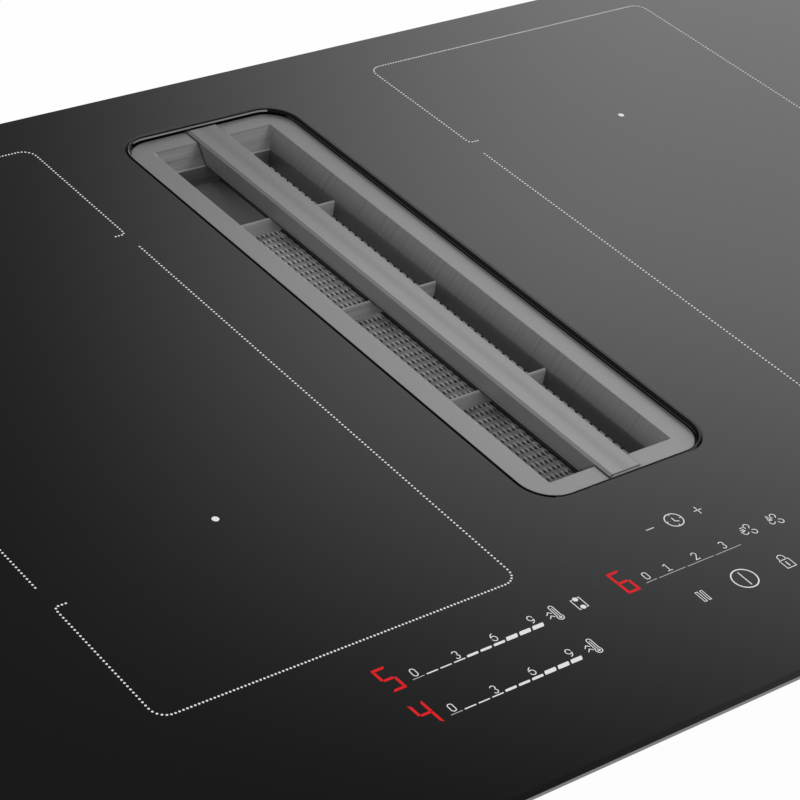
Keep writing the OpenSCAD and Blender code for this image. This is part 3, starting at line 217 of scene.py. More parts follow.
def rounded_rings(rings, steps, lead=0.5 * MM):
    """Points of stacked rounded rectangles. Each ring gives half width, half depth, corner radius and height.
    A corner's points are its centre plus the radius times the cosine and sine of an angle through 90 degrees,
    with one more point before and after it on the tangents, which keeps the sides flat when shaded."""
    turn = np.radians(np.concatenate([[0], np.linspace(0, 90, steps + 1), [90]]))
    angle = np.concatenate([turn + q * np.pi / 2 for q in range(4)])
    run = np.tile(np.concatenate([[-lead], np.zeros(steps + 1), [lead]]), 4)
    sx, sy = np.repeat([1, -1, -1, 1], steps + 3), np.repeat([1, 1, -1, -1], steps + 3)
    w, d, r, z = (np.asarray(rings, float)[:, k][:, None] for k in range(4))
    x = sx * (w - r) + r * np.cos(angle) - run * np.sin(angle)
    y = sy * (d - r) + r * np.sin(angle) + run * np.cos(angle)
    return np.stack([x + VENT_X, y + VENT_Y, z + 0 * x], axis=2)


def crisp(rows, near=0.25 * MM):
    """A closed profile with a point added close to both ends of every long stretch: the end plus the
    stretch's direction times that distance. It keeps wide faces flat when shaded smooth."""
    rows = np.asarray(rows, float)
    step = np.roll(rows, -1, axis=0) - rows
    run = np.linalg.norm(step, axis=1)
    lead = step / np.maximum(run[:, None], 1e-9) * near
    full = np.stack([rows, rows + lead, rows + step - lead], axis=1)
    long = run > 3 * near
    return full[np.stack([run > 1e-7, long, long], axis=1)]


def swept_rim(name, rings, steps, material, body, **more):
    """A closed profile carried round a rounded rectangle; the last ring joins the first."""
    points = rounded_rings(crisp(rings), steps)
    quads = grid_quads(points.shape[0], points.shape[1], True, True)
    return add_piece(name, points, quads, material, body, **more)


def lofted_bar(name, section, stations, axis, material, body, **more):
    """A closed section carried along X or Y from station to station, with flat ends. section gives each
    station's points."""
    rows = np.array([section(s) for s in stations])
    along = np.repeat(np.asarray(stations)[:, None], rows.shape[1], axis=1)
    parts = [along, rows[..., 0]] if axis == "X" else [rows[..., 0], along]
    points = np.stack(parts + [rows[..., 1]], axis=2)
    n, m = points.shape[:2]
    ends = [list(range(m)), [(n - 1) * m + k for k in reversed(range(m))]]
    return add_piece(name, points, list(grid_quads(n, m, False, True)) + ends, material, body, **more)


def arc(x, y, r, a0, a1, count, squash=1.0):
    """Points on a circle's arc between two angles in degrees, its height scaled by squash."""
    a = np.radians(np.linspace(a0, a1, count))
    return np.stack([x + r * np.cos(a), y + squash * r * np.sin(a)], axis=1)


def ring(x, y, r, sides):
    """A circle's points, the first not repeated."""
    return arc(x, y, r, 0, 360, sides + 1)[:-1]


def stroke(path, width, closed=False):
    """The two edges of a flat ribbon along a path in millimetres, half the width out across its direction.
    Open ends are rounded: half the width times the cosine of an angle, set out by its sine."""
    p = np.asarray(path, float)
    if closed:
        ahead, behind = np.roll(p, -1, axis=0) - p, p - np.roll(p, 1, axis=0)
    else:
        step = np.diff(p, axis=0)
        ahead, behind = np.vstack([step, step[-1:]]), np.vstack([step[:1], step])
    tangent = unit(unit(ahead) + unit(behind))
    half = width / 2 / np.clip(np.einsum("ij,ij->i", tangent, unit(ahead)), 0.4, 1)
    if not closed:
        turn = np.radians([80, 52, 25])
        out, slim = np.sin(turn) * width / 2, np.cos(turn) * width / 2
        p = np.vstack([p[0] - tangent[0] * out[:, None], p, p[-1] + tangent[-1] * out[::-1][:, None]])
        tangent = np.vstack([tangent[:1].repeat(3, axis=0), tangent, tangent[-1:].repeat(3, axis=0)])
        half = np.concatenate([slim, half, slim[::-1]])
    side = np.stack([-tangent[:, 1], tangent[:, 0]], axis=1) * half[:, None]
    return p + side, p - side, closed


def print_strokes(name, strokes, film, material):
    """All ribbons of one colour as one mesh: undersides on the glass, tops a film's height above it."""
    points, faces, base = [], [], 0
    heights = np.array([GLASS_TOP, GLASS_TOP, GLASS_TOP + film, GLASS_TOP + film])
    for left, right, closed in strokes:
        n = len(left)
        flat = np.stack([left, right, right, left], axis=1) * MM
        z = np.broadcast_to(heights, (n, 4))
        points.append(np.concatenate([flat, z[..., None]], axis=2).reshape(-1, 3))
        faces += (grid_quads(n, 4, closed, True) + base).tolist()
        if not closed:
            faces += [[base + k for k in range(4)], [base + (n - 1) * 4 + k for k in (3, 2, 1, 0)]]
        base += 4 * n
    return add_piece(name, np.vstack(points), faces, material, "hob", sharp=60)


def print_shapes(name, outlines, film, material):
    """Prisms of printed film: each closed outline in millimetres once on the glass and once a film's height
    above it, turned round where its area (half the sum of the crossed neighbours) is negative."""
    points, faces, base = [], [], 0
    for outline in outlines:
        flat = np.asarray(outline, float) * MM
        ahead = np.roll(flat, -1, axis=0)
        if (flat[:, 0] * ahead[:, 1] - ahead[:, 0] * flat[:, 1]).sum() < 0:
            flat = flat[::-1]
        n = len(flat)
        k = np.arange(n)
        points += [np.column_stack([flat, np.full(n, z)]) for z in (GLASS_TOP, GLASS_TOP + film)]
        faces += (np.stack([k, (k + 1) % n, (k + 1) % n + n, k + n], axis=1) + base).tolist()
        faces += [(base + k[::-1]).tolist(), (base + n + k).tolist()]
        base += 2 * n
    return add_piece(name, np.vstack(points), faces, material, "hob", sharp=60)


def dash(x, y, wide, tall, radius, lean=0.0):
    """A rectangle's outline with rounded corners, leaning sideways in proportion to its height."""
    r = min(radius, 0.49 * wide, 0.49 * tall)
    turn = np.radians(np.concatenate([np.linspace(0, 90, 5) + 90 * q for q in range(4)]))
    across = np.repeat([1, -1, -1, 1], 5) * (wide / 2 - r) + r * np.cos(turn)
    up = np.repeat([1, 1, -1, -1], 5) * (tall / 2 - r) + r * np.sin(turn)
    return np.stack([x + across + lean * up, y + up], axis=1)


def dotted(corners, radius, across, along):
    """Equally spaced points along a line through corners, each inner corner rounded by a quarter arc. A step
    counts as the root of its X over the pitch across, squared, plus its Y over the pitch along, squared."""
    c = np.asarray(corners, float)
    path = [c[:1]]
    for a, b, d in zip(c[:-2], c[1:-1], c[2:]):
        u, v = (a - b) / np.linalg.norm(a - b), (d - b) / np.linalg.norm(d - b)
        r = min(radius, 0.4 * np.linalg.norm(a - b), 0.4 * np.linalg.norm(d - b))
        t = np.radians(np.linspace(0, 90, 9))[:, None]
        path.append(b + r * (u + v) - r * (v * np.cos(t) + u * np.sin(t)))
    path = np.vstack(path + [c[-1:]])
    run = np.linalg.norm(np.diff(path, axis=0) / [across, along], axis=1)
    run = np.concatenate([[0], np.cumsum(run)])
    at = np.linspace(0, run[-1], int(round(run[-1])) + 1)
    return np.stack([np.interp(at, run, path[:, 0]), np.interp(at, run, path[:, 1])], axis=1)


# Materials

VECTOR, COLOUR, NUMBER = "NodeSocketVector", "NodeSocketColor", "NodeSocketFloat"
SKIN = {"Colour": COLOUR, "Roughness": NUMBER, "Height": NUMBER}


def new_group(name, inputs):
    """A shader node group with named inputs (kind, default) whose outputs are a skin's three."""
    tree = bpy.data.node_groups.new(name, "ShaderNodeTree")
    for label, (kind, value) in inputs.items():
        socket = tree.interface.new_socket(name=label, in_out="INPUT", socket_type=kind)
        if value is not None:
            socket.default_value = value
    for label, kind in SKIN.items():
        tree.interface.new_socket(name=label, in_out="OUTPUT", socket_type=kind)
    return tree, tree.nodes.new("NodeGroupInput").outputs, tree.nodes.new("NodeGroupOutput").inputs


def node(tree, kind, **values):
    """A node with its properties set, and its inputs where the name is a socket's."""
    made = tree.nodes.new(kind)
    for key, value in values.items():
        if key in made.inputs.keys():
            made.inputs[key].default_value = value
        else:
            setattr(made, key, value)
    return made


def math(tree, operation, *values):
    """A Math node of sockets or numbers."""
    made = node(tree, "ShaderNodeMath", operation=operation)
    for socket, value in zip(made.inputs, values):
        if hasattr(value, "is_linked"):
            tree.links.new(value, socket)
        else:
            socket.default_value = value
    return made.outputs[0]


def span(tree, value, a, b, low, high, smooth=True):
    """A Map Range node: low at a, high at b, clamped."""
    made = node(tree, "ShaderNodeMapRange", interpolation_type="SMOOTHSTEP" if smooth else "LINEAR")
    for k, number in zip(("From Min", "From Max", "To Min", "To Max"), (a, b, low, high)):
        made.inputs[k].default_value = number
    tree.links.new(value, made.inputs["Value"])
    return made.outputs["Result"]


def mixed(tree, factor, a, b):
    """A colour mix of sockets or colours."""
    made = node(tree, "ShaderNodeMix", data_type="RGBA")
    for socket, value in ((made.inputs[0], factor), (made.inputs[6], a), (made.inputs[7], b)):
        if hasattr(value, "is_linked"):
            tree.links.new(value, socket)
        elif isinstance(value, (int, float)):
            socket.default_value = value
        else:
            socket.default_value = (*value[:3], 1.0)
    return made.outputs[2]


def parts_of(tree, vector):
    """The X, Y and Z of a vector as sockets."""
    made = tree.nodes.new("ShaderNodeSeparateXYZ")
    tree.links.new(vector, made.inputs[0])
    return made.outputs


def scaled(tree, vector, factors, share=1.0):
    """A vector with each part multiplied by its own number or socket, and by a share."""
    joined = tree.nodes.new("ShaderNodeCombineXYZ")
    for part, factor, socket in zip(parts_of(tree, vector), factors, joined.inputs):
        if share != 1.0:
            factor = math(tree, "MULTIPLY", factor, share)
        tree.links.new(math(tree, "MULTIPLY", part, factor), socket)
    return joined.outputs[0]


def toned(tree, colour, factor):
    """A colour or vector multiplied by a number or socket."""
    made = node(tree, "ShaderNodeVectorMath", operation="SCALE")
    tree.links.new(colour, made.inputs[0])
    if hasattr(factor, "is_linked"):
        tree.links.new(factor, made.inputs["Scale"])
    else:
        made.inputs["Scale"].default_value = factor
    return made.outputs[0]


def shaded(colour, factor):
    """A written colour multiplied by a number, at most 1."""
    return [min(1.0, factor * v) for v in colour]


def away(tree, value, centre):
    """The distance of a value from a number."""
    return math(tree, "ABSOLUTE", math(tree, "SUBTRACT", value, centre))


def noise(tree, vector, scale, detail=2.0, roughness=0.5, output="Fac"):
    """A noise between 0 and 1, or its colour."""
    made = node(tree, "ShaderNodeTexNoise", Detail=detail, Roughness=roughness)
    tree.links.new(vector, made.inputs["Vector"])
    if hasattr(scale, "is_linked"):
        tree.links.new(scale, made.inputs["Scale"])
    else:
        made.inputs["Scale"].default_value = scale
    return made.outputs[output]


def skin_out(tree, out, tint, roughness, height):
    """Links a group's three outputs."""
    for socket, value in zip(out, (tint, roughness, height)):
        tree.links.new(value, socket)


def brushed_group(fast=5200.0, slow=38.0, band_share=0.08):
    """Brushed metal: long hairlines along X or Y that swing the colour about its middle, and their height.
    The line is fast across the brush direction; on faces that look along Y it is fast upwards instead."""
    tree, inp, out = new_group("Brushed lines", {
        "Vector": (VECTOR, None), "Normal": (VECTOR, None), "Along X": (NUMBER, 1.0),
        "Colour": (COLOUR, (0.5, 0.5, 0.5, 1)), "Swing": (NUMBER, 0.2)})
    facing = parts_of(tree, inp["Normal"])
    ends = math(tree, "GREATER_THAN", math(tree, "ABSOLUTE", facing[1]), 0.8)
    sides = math(tree, "SUBTRACT", 1.0, inp["Along X"])
    axes = (sides, inp["Along X"], ends)
    speeds = [math(tree, "ADD", math(tree, "MULTIPLY", axis, fast), slow) for axis in axes]
    lines = noise(tree, scaled(tree, inp["Vector"], speeds), 1.0, 3.0, 0.65)
    bands = noise(tree, scaled(tree, inp["Vector"], speeds, band_share), 1.0, 3.0, 0.6)
    level = span(tree, math(tree, "ABSOLUTE", facing[2]), 0.75, 0.97, 2.2, 0.6)
    both = math(tree, "ADD", math(tree, "MULTIPLY", math(tree, "SUBTRACT", lines, 0.5), 0.7),
                math(tree, "MULTIPLY", math(tree, "SUBTRACT", bands, 0.5), level))
    factor = math(tree, "ADD", 1.0, math(tree, "MULTIPLY", both, inp["Swing"]))
    skin_out(tree, out, toned(tree, inp["Colour"], factor), both, lines)


def moulded_group():
    """Moulded plastic: a fine spark-eroded grain as height, and a slow cloud that lightens and dulls it."""
    tree, inp, out = new_group("Moulded grain", {
        "Vector": (VECTOR, None), "Colour": (COLOUR, (0.05, 0.05, 0.05, 1)), "Grain": (NUMBER, 1600.0)})
    cloud = noise(tree, inp["Vector"], 14.0, 4.0, 0.6)
    skin_out(tree, out, toned(tree, inp["Colour"], span(tree, cloud, 0.3, 0.7, 0.88, 1.12)),
             span(tree, cloud, 0.3, 0.7, -0.05, 0.05), noise(tree, inp["Vector"], inp["Grain"]))


def spangle_group():
    """Galvanised sheet: angular zinc crystals, each with its own shade, over a slow cloud of dulling."""
    tree, inp, out = new_group("Zinc spangle", {
        "Vector": (VECTOR, None), "Colour": (COLOUR, (0.5, 0.5, 0.5, 1)), "Crystal": (NUMBER, 110.0)})
    wobble = noise(tree, inp["Vector"], 60.0, output="Color")
    bent = node(tree, "ShaderNodeVectorMath", operation="ADD")
    tree.links.new(inp["Vector"], bent.inputs[0])
    tree.links.new(toned(tree, wobble, 0.012), bent.inputs[1])
    cells = node(tree, "ShaderNodeTexVoronoi", feature="F1", distance="MANHATTAN")
    tree.links.new(bent.outputs[0], cells.inputs["Vector"])
    tree.links.new(inp["Crystal"], cells.inputs["Scale"])
    parts = parts_of(tree, cells.outputs["Color"])
    cloud = noise(tree, inp["Vector"], 9.0, 4.0, 0.6)
    shade = math(tree, "ADD", span(tree, parts[0], 0.0, 1.0, 0.86, 1.1, False),
                 span(tree, cloud, 0.3, 0.7, -0.06, 0.06))
    skin_out(tree, out, toned(tree, inp["Colour"], shade),
             span(tree, parts[1], 0.0, 1.0, -0.08, 0.08, False), parts[2])


def new_material(name):
    """A node material with its shader, and its object coordinates and normals: (material, tree, shader,
    position, normal)."""
    material = bpy.data.materials.new("look_" + name)
    material.use_nodes = True
    tree = material.node_tree
    coords = tree.nodes.new("ShaderNodeTexCoord").outputs
    return material, tree, tree.nodes["Principled BSDF"], coords["Object"], coords["Normal"]


def skin(tree, group, **values):
    """The outputs of a shared group placed in a material with its own values."""
    made = tree.nodes.new("ShaderNodeGroup")
    made.node_tree = bpy.data.node_groups[group]
    for key, value in values.items():
        socket = made.inputs[key.replace("_", " ")]
        if hasattr(value, "is_linked"):
            tree.links.new(value, socket)
        else:
            socket.default_value = value if isinstance(value, (int, float)) else (*value[:3], 1.0)
    return made.outputs


def bump(tree, shader, height, depth, softened=0.0):
    """A bump of that depth in millimetres, over normals softened at the edges where a radius is given."""
    made = node(tree, "ShaderNodeBump", Strength=1.0, Distance=depth * MM)
    tree.links.new(height, made.inputs["Height"])
    if softened:
        soft = node(tree, "ShaderNodeBevel", samples=4, Radius=softened * MM)
        tree.links.new(soft.outputs[0], made.inputs["Normal"])
    tree.links.new(made.outputs[0], shader.inputs["Normal"])


def dressed(tree, shader, colour, roughness, metal=0.0):
    """Links a shader's colour and roughness and sets how metallic it is."""
    tree.links.new(colour, shader.inputs["Base Color"])
    tree.links.new(roughness, shader.inputs["Roughness"])
    shader.inputs["Metallic"].default_value = metal


def brushed(name, colour, roughness, along_x=1.0, swing=0.34, depth=0.012, softened=0.0, metal=1.0,
            painted_light=None):
    """Brushed metal whose hairlines run along X, or along Y where along_x is 0. The last argument takes the
    tree, the position's parts, the normal's parts and the colour, and gives the colour back with painted
    light and shade."""
    material, tree, shader, place, normal = new_material(name)
    lines = skin(tree, "Brushed lines", Vector=place, Normal=normal, Along_X=along_x, Colour=colour,
                 Swing=swing)
    shade = lines["Colour"]
    if painted_light:
        shade = painted_light(tree, parts_of(tree, place), parts_of(tree, normal), shade)
    dressed(tree, shader, shade, math(tree, "MULTIPLY_ADD", lines["Roughness"], 0.35, roughness), metal)
    bump(tree, shader, lines["Height"], depth, softened)
    return material


def moulded(name, colour, roughness=0.5, grain=1600.0, depth=0.03, softened=0.35, coat=0.0):
    """Moulded plastic, rubber or lacquer with its own grain."""
    material, tree, shader, place = new_material(name)[:4]
    grained = skin(tree, "Moulded grain", Vector=place, Colour=colour, Grain=grain)
    dressed(tree, shader, grained["Colour"], math(tree, "ADD", grained["Roughness"], roughness))
    shader.inputs["Coat Weight"].default_value = coat
    bump(tree, shader, grained["Height"], depth, softened)
    return material


def zinc(name, colour, roughness=0.42, crystal=110.0, softened=0.3):
    """Galvanised or mill-finished sheet."""
    material, tree, shader, place = new_material(name)[:4]
    spangled = skin(tree, "Zinc spangle", Vector=place, Colour=colour, Crystal=crystal)
    dressed(tree, shader, spangled["Colour"], math(tree, "ADD", spangled["Roughness"], roughness), 0.85)
    bump(tree, shader, spangled["Height"], 0.01, softened)
    return material


def glass_material(colour, edge):
    """Black glass: polished faces with a faint slow wave, and a pale ground finish on the upright edges."""
    material, tree, shader, place, normal = new_material("black_glass")
    upright = math(tree, "LESS_THAN", math(tree, "ABSOLUTE", parts_of(tree, normal)[2]), 0.3)
    frost = mixed(tree, noise(tree, place, 2400.0), shaded(edge, 0.8), shaded(edge, 1.15))
    haze = span(tree, noise(tree, place, 6.0, 3.0), 0.3, 0.7, 0.035, 0.055)
    dressed(tree, shader, mixed(tree, upright, colour, frost),
            math(tree, "MAXIMUM", haze, math(tree, "MULTIPLY", upright, 0.5)))
    shader.inputs["IOR"].default_value = 1.5
    bump(tree, shader, noise(tree, place, 3.0, 1.0), 0.02)
    return material


def plain_gloss(name, colour, roughness=0.08):
    """Glossy lacquered plastic with a faint orange-peel."""
    material, tree, shader, place = new_material(name)[:4]
    peel = noise(tree, place, 300.0)
    dressed(tree, shader, mixed(tree, peel, shaded(colour, 0.9), shaded(colour, 1.1)),
            span(tree, peel, 0.2, 0.8, roughness * 0.7, roughness * 1.3))
    bump(tree, shader, peel, 0.004)
    return material


def lining(name, colour):
    """Black gloss lining of the slot, with painted highlights: a pale line on its left rim, a grey band high
    on its back wall and a fine pale line low on its right wall, picked by position and by the way the face
    looks."""
    material, tree, shader, place, normal = new_material(name)
    at, facing = parts_of(tree, place), parts_of(tree, normal)

    def line(axis, height, core, edge):
        """A line at a height, on faces that look back along an axis, fading between two half widths."""
        looks = math(tree, "LESS_THAN", facing[axis], -0.9)
        near = span(tree, away(tree, at[2], height * MM), core * MM, edge * MM, 1.0, 0.0)
        return math(tree, "MULTIPLY", looks, near)

    # The left rim lies more than 49 mm from the slot's middle; its painted highlight fades in over 25 mm from
    # the front
    rim = math(tree, "MULTIPLY", math(tree, "LESS_THAN", at[0], VENT_X - 49 * MM),
               math(tree, "GREATER_THAN", facing[2], 0.8))
    rim = math(tree, "MULTIPLY", rim, span(tree, at[1], VENT_Y - 165 * MM, VENT_Y - 140 * MM, 0.0, 1.0))
    # Painted highlights: a grey band high on the back wall, a pale line low on the right wall, a pale line on
    # the left rim
    shade = mixed(tree, line(1, 4.25, 0.4, 0.6), colour, (0.5, 0.5, 0.5))
    shade = mixed(tree, line(0, 3.0, 0.1, 0.3), shade, (0.12, 0.12, 0.12))
    shade = mixed(tree, rim, shade, (0.11, 0.11, 0.11))
    peel = noise(tree, place, 300.0)
    dressed(tree, shader, shade, span(tree, peel, 0.2, 0.8, 0.04, 0.07))
    bump(tree, shader, peel, 0.002)
    return material


def printed(name, colour, glow=0.0):
    """Fired enamel print: matt, with a fine screen grain; lit segments glow in their own colour."""
    material, tree, shader, place = new_material(name)[:4]
    grain = noise(tree, place, 3500.0)
    shade = mixed(tree, grain, shaded(colour, 0.94), shaded(colour, 1.05))
    base = mixed(tree, 0.75, shade, (0.0, 0.0, 0.0)) if glow else shade
    dressed(tree, shader, base, span(tree, grain, 0.2, 0.8, 0.42, 0.58))
    if glow:
        tree.links.new(shade, shader.inputs["Emission Color"])
        shader.inputs["Emission Strength"].default_value = glow
        shader.inputs["Specular IOR Level"].default_value = 0.1
    return material


def mesh_pack_material(name, colour):
    """Layers of expanded metal: fine dark and light strands."""
    material, tree, shader, place = new_material(name)[:4]
    wave = noise(tree, scaled(tree, place, (1.0, 0.6, 1.4)), 900.0, 3.0)
    strands = span(tree, wave, 0.42, 0.6, 0.0, 1.0)
    dressed(tree, shader, mixed(tree, strands, shaded(colour, 0.1), colour),
            span(tree, wave, 0.2, 0.8, 0.6, 0.35), 0.9)
    bump(tree, shader, wave, 0.3)
    return material


def sheet_material(vent):
    """Pressed sheet with painted light: lighter knuckles, darker between them and darker towards the front.
    """
    material, tree, shader, place = new_material("pressed_sheet")[:4]
    cloud = noise(tree, place, 120.0, 3.0)
    # Painted shade: the sheet darker towards the front
    far = span(tree, parts_of(tree, place)[1], SHEET_LOW[1], SHEET_HIGH[1] - 50 * MM, 0.55, 1.0, False)
    raised = node(tree, "ShaderNodeAttribute", attribute_name="raised")
    # Painted highlight on the raised knuckles, painted shade in the hollows between them
    painted_knuckle_light = mixed(tree, raised.outputs["Fac"], shaded(vent.sheet_metal, 0.42), vent.sheet_metal)
    painted_shade_and_tone = math(tree, "MULTIPLY", far, span(tree, cloud, 0.3, 0.7, 0.9, 1.05))
    dressed(tree, shader, toned(tree, painted_knuckle_light, painted_shade_and_tone), span(tree, cloud, 0.3, 0.7, 0.3, 0.45), 0.35)
    bump(tree, shader, noise(tree, place, 1500.0), 0.01)
    return material


def lip_material(vent):
    """The sheet's turned-up edge: its own metal with painted shade for openings at the holes' spacing."""
    material, tree, shader, place = new_material("sheet_lip")[:4]
    turns = math(tree, "MULTIPLY", parts_of(tree, place)[1], 2 * np.pi / vent.hole_along)
    # Painted shade: black at the holes' spacing stands in for the dark seen through the openings
    hole_shade = span(tree, math(tree, "COSINE", turns), 0.45, 0.8, 0.0, 1.0)
    dressed(tree, shader, mixed(tree, hole_shade, shaded(vent.sheet_metal, 0.6), (0.005, 0.005, 0.005)),
            span(tree, noise(tree, place, 900.0), 0.3, 0.7, 0.4, 0.5), 0.35)
    bump(tree, shader, noise(tree, place, 1500.0), 0.01)
    return material


# Operators

def settings(scene):
    """The three groups of settings."""
    return scene.cooktop_vent, scene.cooktop_print, scene.cooktop_finish


class COOKTOP_OT_finishes(bpy.types.Operator):
    """Makes the shared node groups and gives every carried-over solid the finish of its material slot."""
    bl_idname = "cooktop.finishes"
    bl_label = "Finish the solids"

    def execute(self, context):
        vent, look = context.scene.cooktop_vent, context.scene.cooktop_finish
        plain = {m["slot"]: m["base_color"][:3] for m in frame["record"]["materials"]}
        brushed_group()
        moulded_group()
        spangle_group()

        def grille_painted_light(tree, place, facing, shade):
            """Painted light: a painted highlight on the bend at the foot of the end slopes, painted shade low
            on the right wall and towards the back.
            """
            ends = math(tree, "GREATER_THAN", math(tree, "ABSOLUTE", facing[1]), 0.3)
            # Painted highlight on the bend; painted shade low on the right wall and towards the back
            bend = span(tree, away(tree, place[2], vent.slope_low - 0.15 * MM), 0.25 * MM, 0.6 * MM, 1.0, 0.0)
            right = math(tree, "LESS_THAN", facing[0], -0.3)
            deep = span(tree, place[2], -11 * MM, 2 * MM, 0.6, 0.0)
            painted_shade_and_tone = span(tree, place[1], VENT_Y, GRILLE_HIGH[1], 1.0, 0.88)
            shadow = math(tree, "SUBTRACT", 1.0, math(tree, "MULTIPLY", right, deep))
            shade = toned(tree, shade, math(tree, "MULTIPLY", painted_shade_and_tone, shadow))
            return mixed(tree, math(tree, "MULTIPLY", bend, ends), shade, shaded(vent.steel, 2.1))

        def bar_painted_light(tree, place, facing, shade):
            """Painted shade: a soft dark band along the top, a darker back, and a dark line before each
            end's bevel.
            """
            up = math(tree, "GREATER_THAN", facing[2], 0.9)
            # Painted shade: a soft dark band along the top, darker towards the back, a dark line before each
            # end's bevel
            painted_streak = span(tree, away(tree, place[0], VENT_X + 0.5 * MM), 0.0, 5.0 * MM, 0.13, 0.0)
            painted_streak = math(tree, "SUBTRACT", 1.0, math(tree, "MULTIPLY", up, painted_streak))
            painted_shade_and_tone = span(tree, place[1], VENT_Y - 20 * MM, BAR_HIGH[1], 1.0, 0.72)
            bevel_edge_shade = away(tree, away(tree, place[1], VENT_Y), (BAR_HIGH[1] - BAR_LOW[1]) / 2 - 1.4 * MM)
            bevel_edge_shade = span(tree, bevel_edge_shade, 0.2 * MM, 0.42 * MM, 0.1, 1.0)
            return toned(tree, shade, math(tree, "MULTIPLY", math(tree, "MULTIPLY", painted_streak, painted_shade_and_tone), bevel_edge_shade))

        made = {
            "black_glass": glass_material(look.glass, look.ground_edge),
            "black_trim": lining("black_trim", vent.trim_black),
            # Painted shade: the mesh pack under the sheets is made nearly black so that the openings above it
            # read dark
            "filter_metal": mesh_pack_material("filter_mesh_pack", shaded(vent.sheet_metal, 0.02)),
            "grille_steel": brushed("grille_steel", vent.steel, 0.42, metal=0.82, painted_light=grille_painted_light),
            "bar_aluminium": brushed("bar_metal", vent.bar_metal, 0.38, along_x=0.0, swing=0.2, metal=0.6,
                                     painted_light=bar_painted_light),
        }

        def own(build, slot, *values, **more):
            """Builds a slot's finish in the colour that the record gives it."""
            made[slot] = build(slot, plain[slot], *values, **more)

        own(moulded, "foam_rubber", 0.85, 700.0, 0.25)
        own(moulded, "dark_plastic")
        own(moulded, "blower_plastic", 0.45)
        own(moulded, "wheel_plastic", 0.4)
        own(moulded, "tray_plastic")
        own(moulded, "filter_plastic")
        own(moulded, "ferrite", 0.6, 900.0, 0.06)
        own(moulded, "mica", 0.4, 250.0, 0.05)
        own(moulded, "white_plastic")
        own(moulded, "lead_red", 0.45)
        own(moulded, "board_green", 0.3, 500.0, 0.02, coat=0.4)
        own(moulded, "black_plastic")
        own(moulded, "yellow_plastic", 0.3, coat=0.3)
        own(zinc, "case_steel")
        own(zinc, "motor_metal", 0.4, 500.0)
        own(zinc, "plate_aluminium", 0.35, 60.0)
        own(brushed, "screw_steel", 0.3, swing=0.2, depth=0.003, softened=0.3)
        own(brushed, "coil_copper", 0.35, swing=0.8, depth=0.05, softened=0.3)
        own(brushed, "spring_brass", 0.3, depth=0.01)
        own(plain_gloss, "display_red")
        for part in frame["record"]["subparts"]:
            body = frame["nodes"][part["node"]].data
            body.materials.clear()
            body.materials.append(made[part["material_slot"]])
        return {"FINISHED"}


class COOKTOP_OT_slot_trim(bpy.types.Operator):
    """Black trim: a thin rim on the glass, a bevelled edge, an inner wall, and a ledge under the grille."""
    bl_idname = "cooktop.slot_trim"
    bl_label = "Slot trim"

    def execute(self, context):
        vent = context.scene.cooktop_vent
        low, ledge, inner = TRIM_LOW[2], GRILLE_HIGH[2] - vent.ledge_drop, -vent.ledge_run
        half_w, half_d = (TRIM_HIGH[0] - TRIM_LOW[0]) / 2, (TRIM_HIGH[1] - TRIM_LOW[1]) / 2
        out = half_w - (GRILLE_HIGH[0] - GRILLE_LOW[0]) / 2 - 1.0 * MM
        profile = [
            (inner, low), (inner, ledge - 0.2 * MM), (inner + 0.2 * MM, ledge), (-0.5 * MM, ledge),
            (-0.15 * MM, ledge + 0.15 * MM), (0.0, ledge + 0.5 * MM), (0.0, GLASS_TOP - vent.trim_bevel),
            (0.1 * MM, GLASS_TOP - 0.1 * MM), (0.3 * MM, GLASS_TOP + 0.02 * MM),
            (0.6 * MM, GLASS_TOP + 0.02 * MM), (0.6 * MM, low),
        ]
        rings = [(half_w - out + o, half_d - out + o, vent.slot_round + o, z) for o, z in profile]
        swept_rim("slot_trim_bead", rings, 10, bpy.data.materials["look_black_trim"], "hob", sharp=30,
                  replaced=["slot_trim"], slot="black_trim")
        return {"FINISHED"}


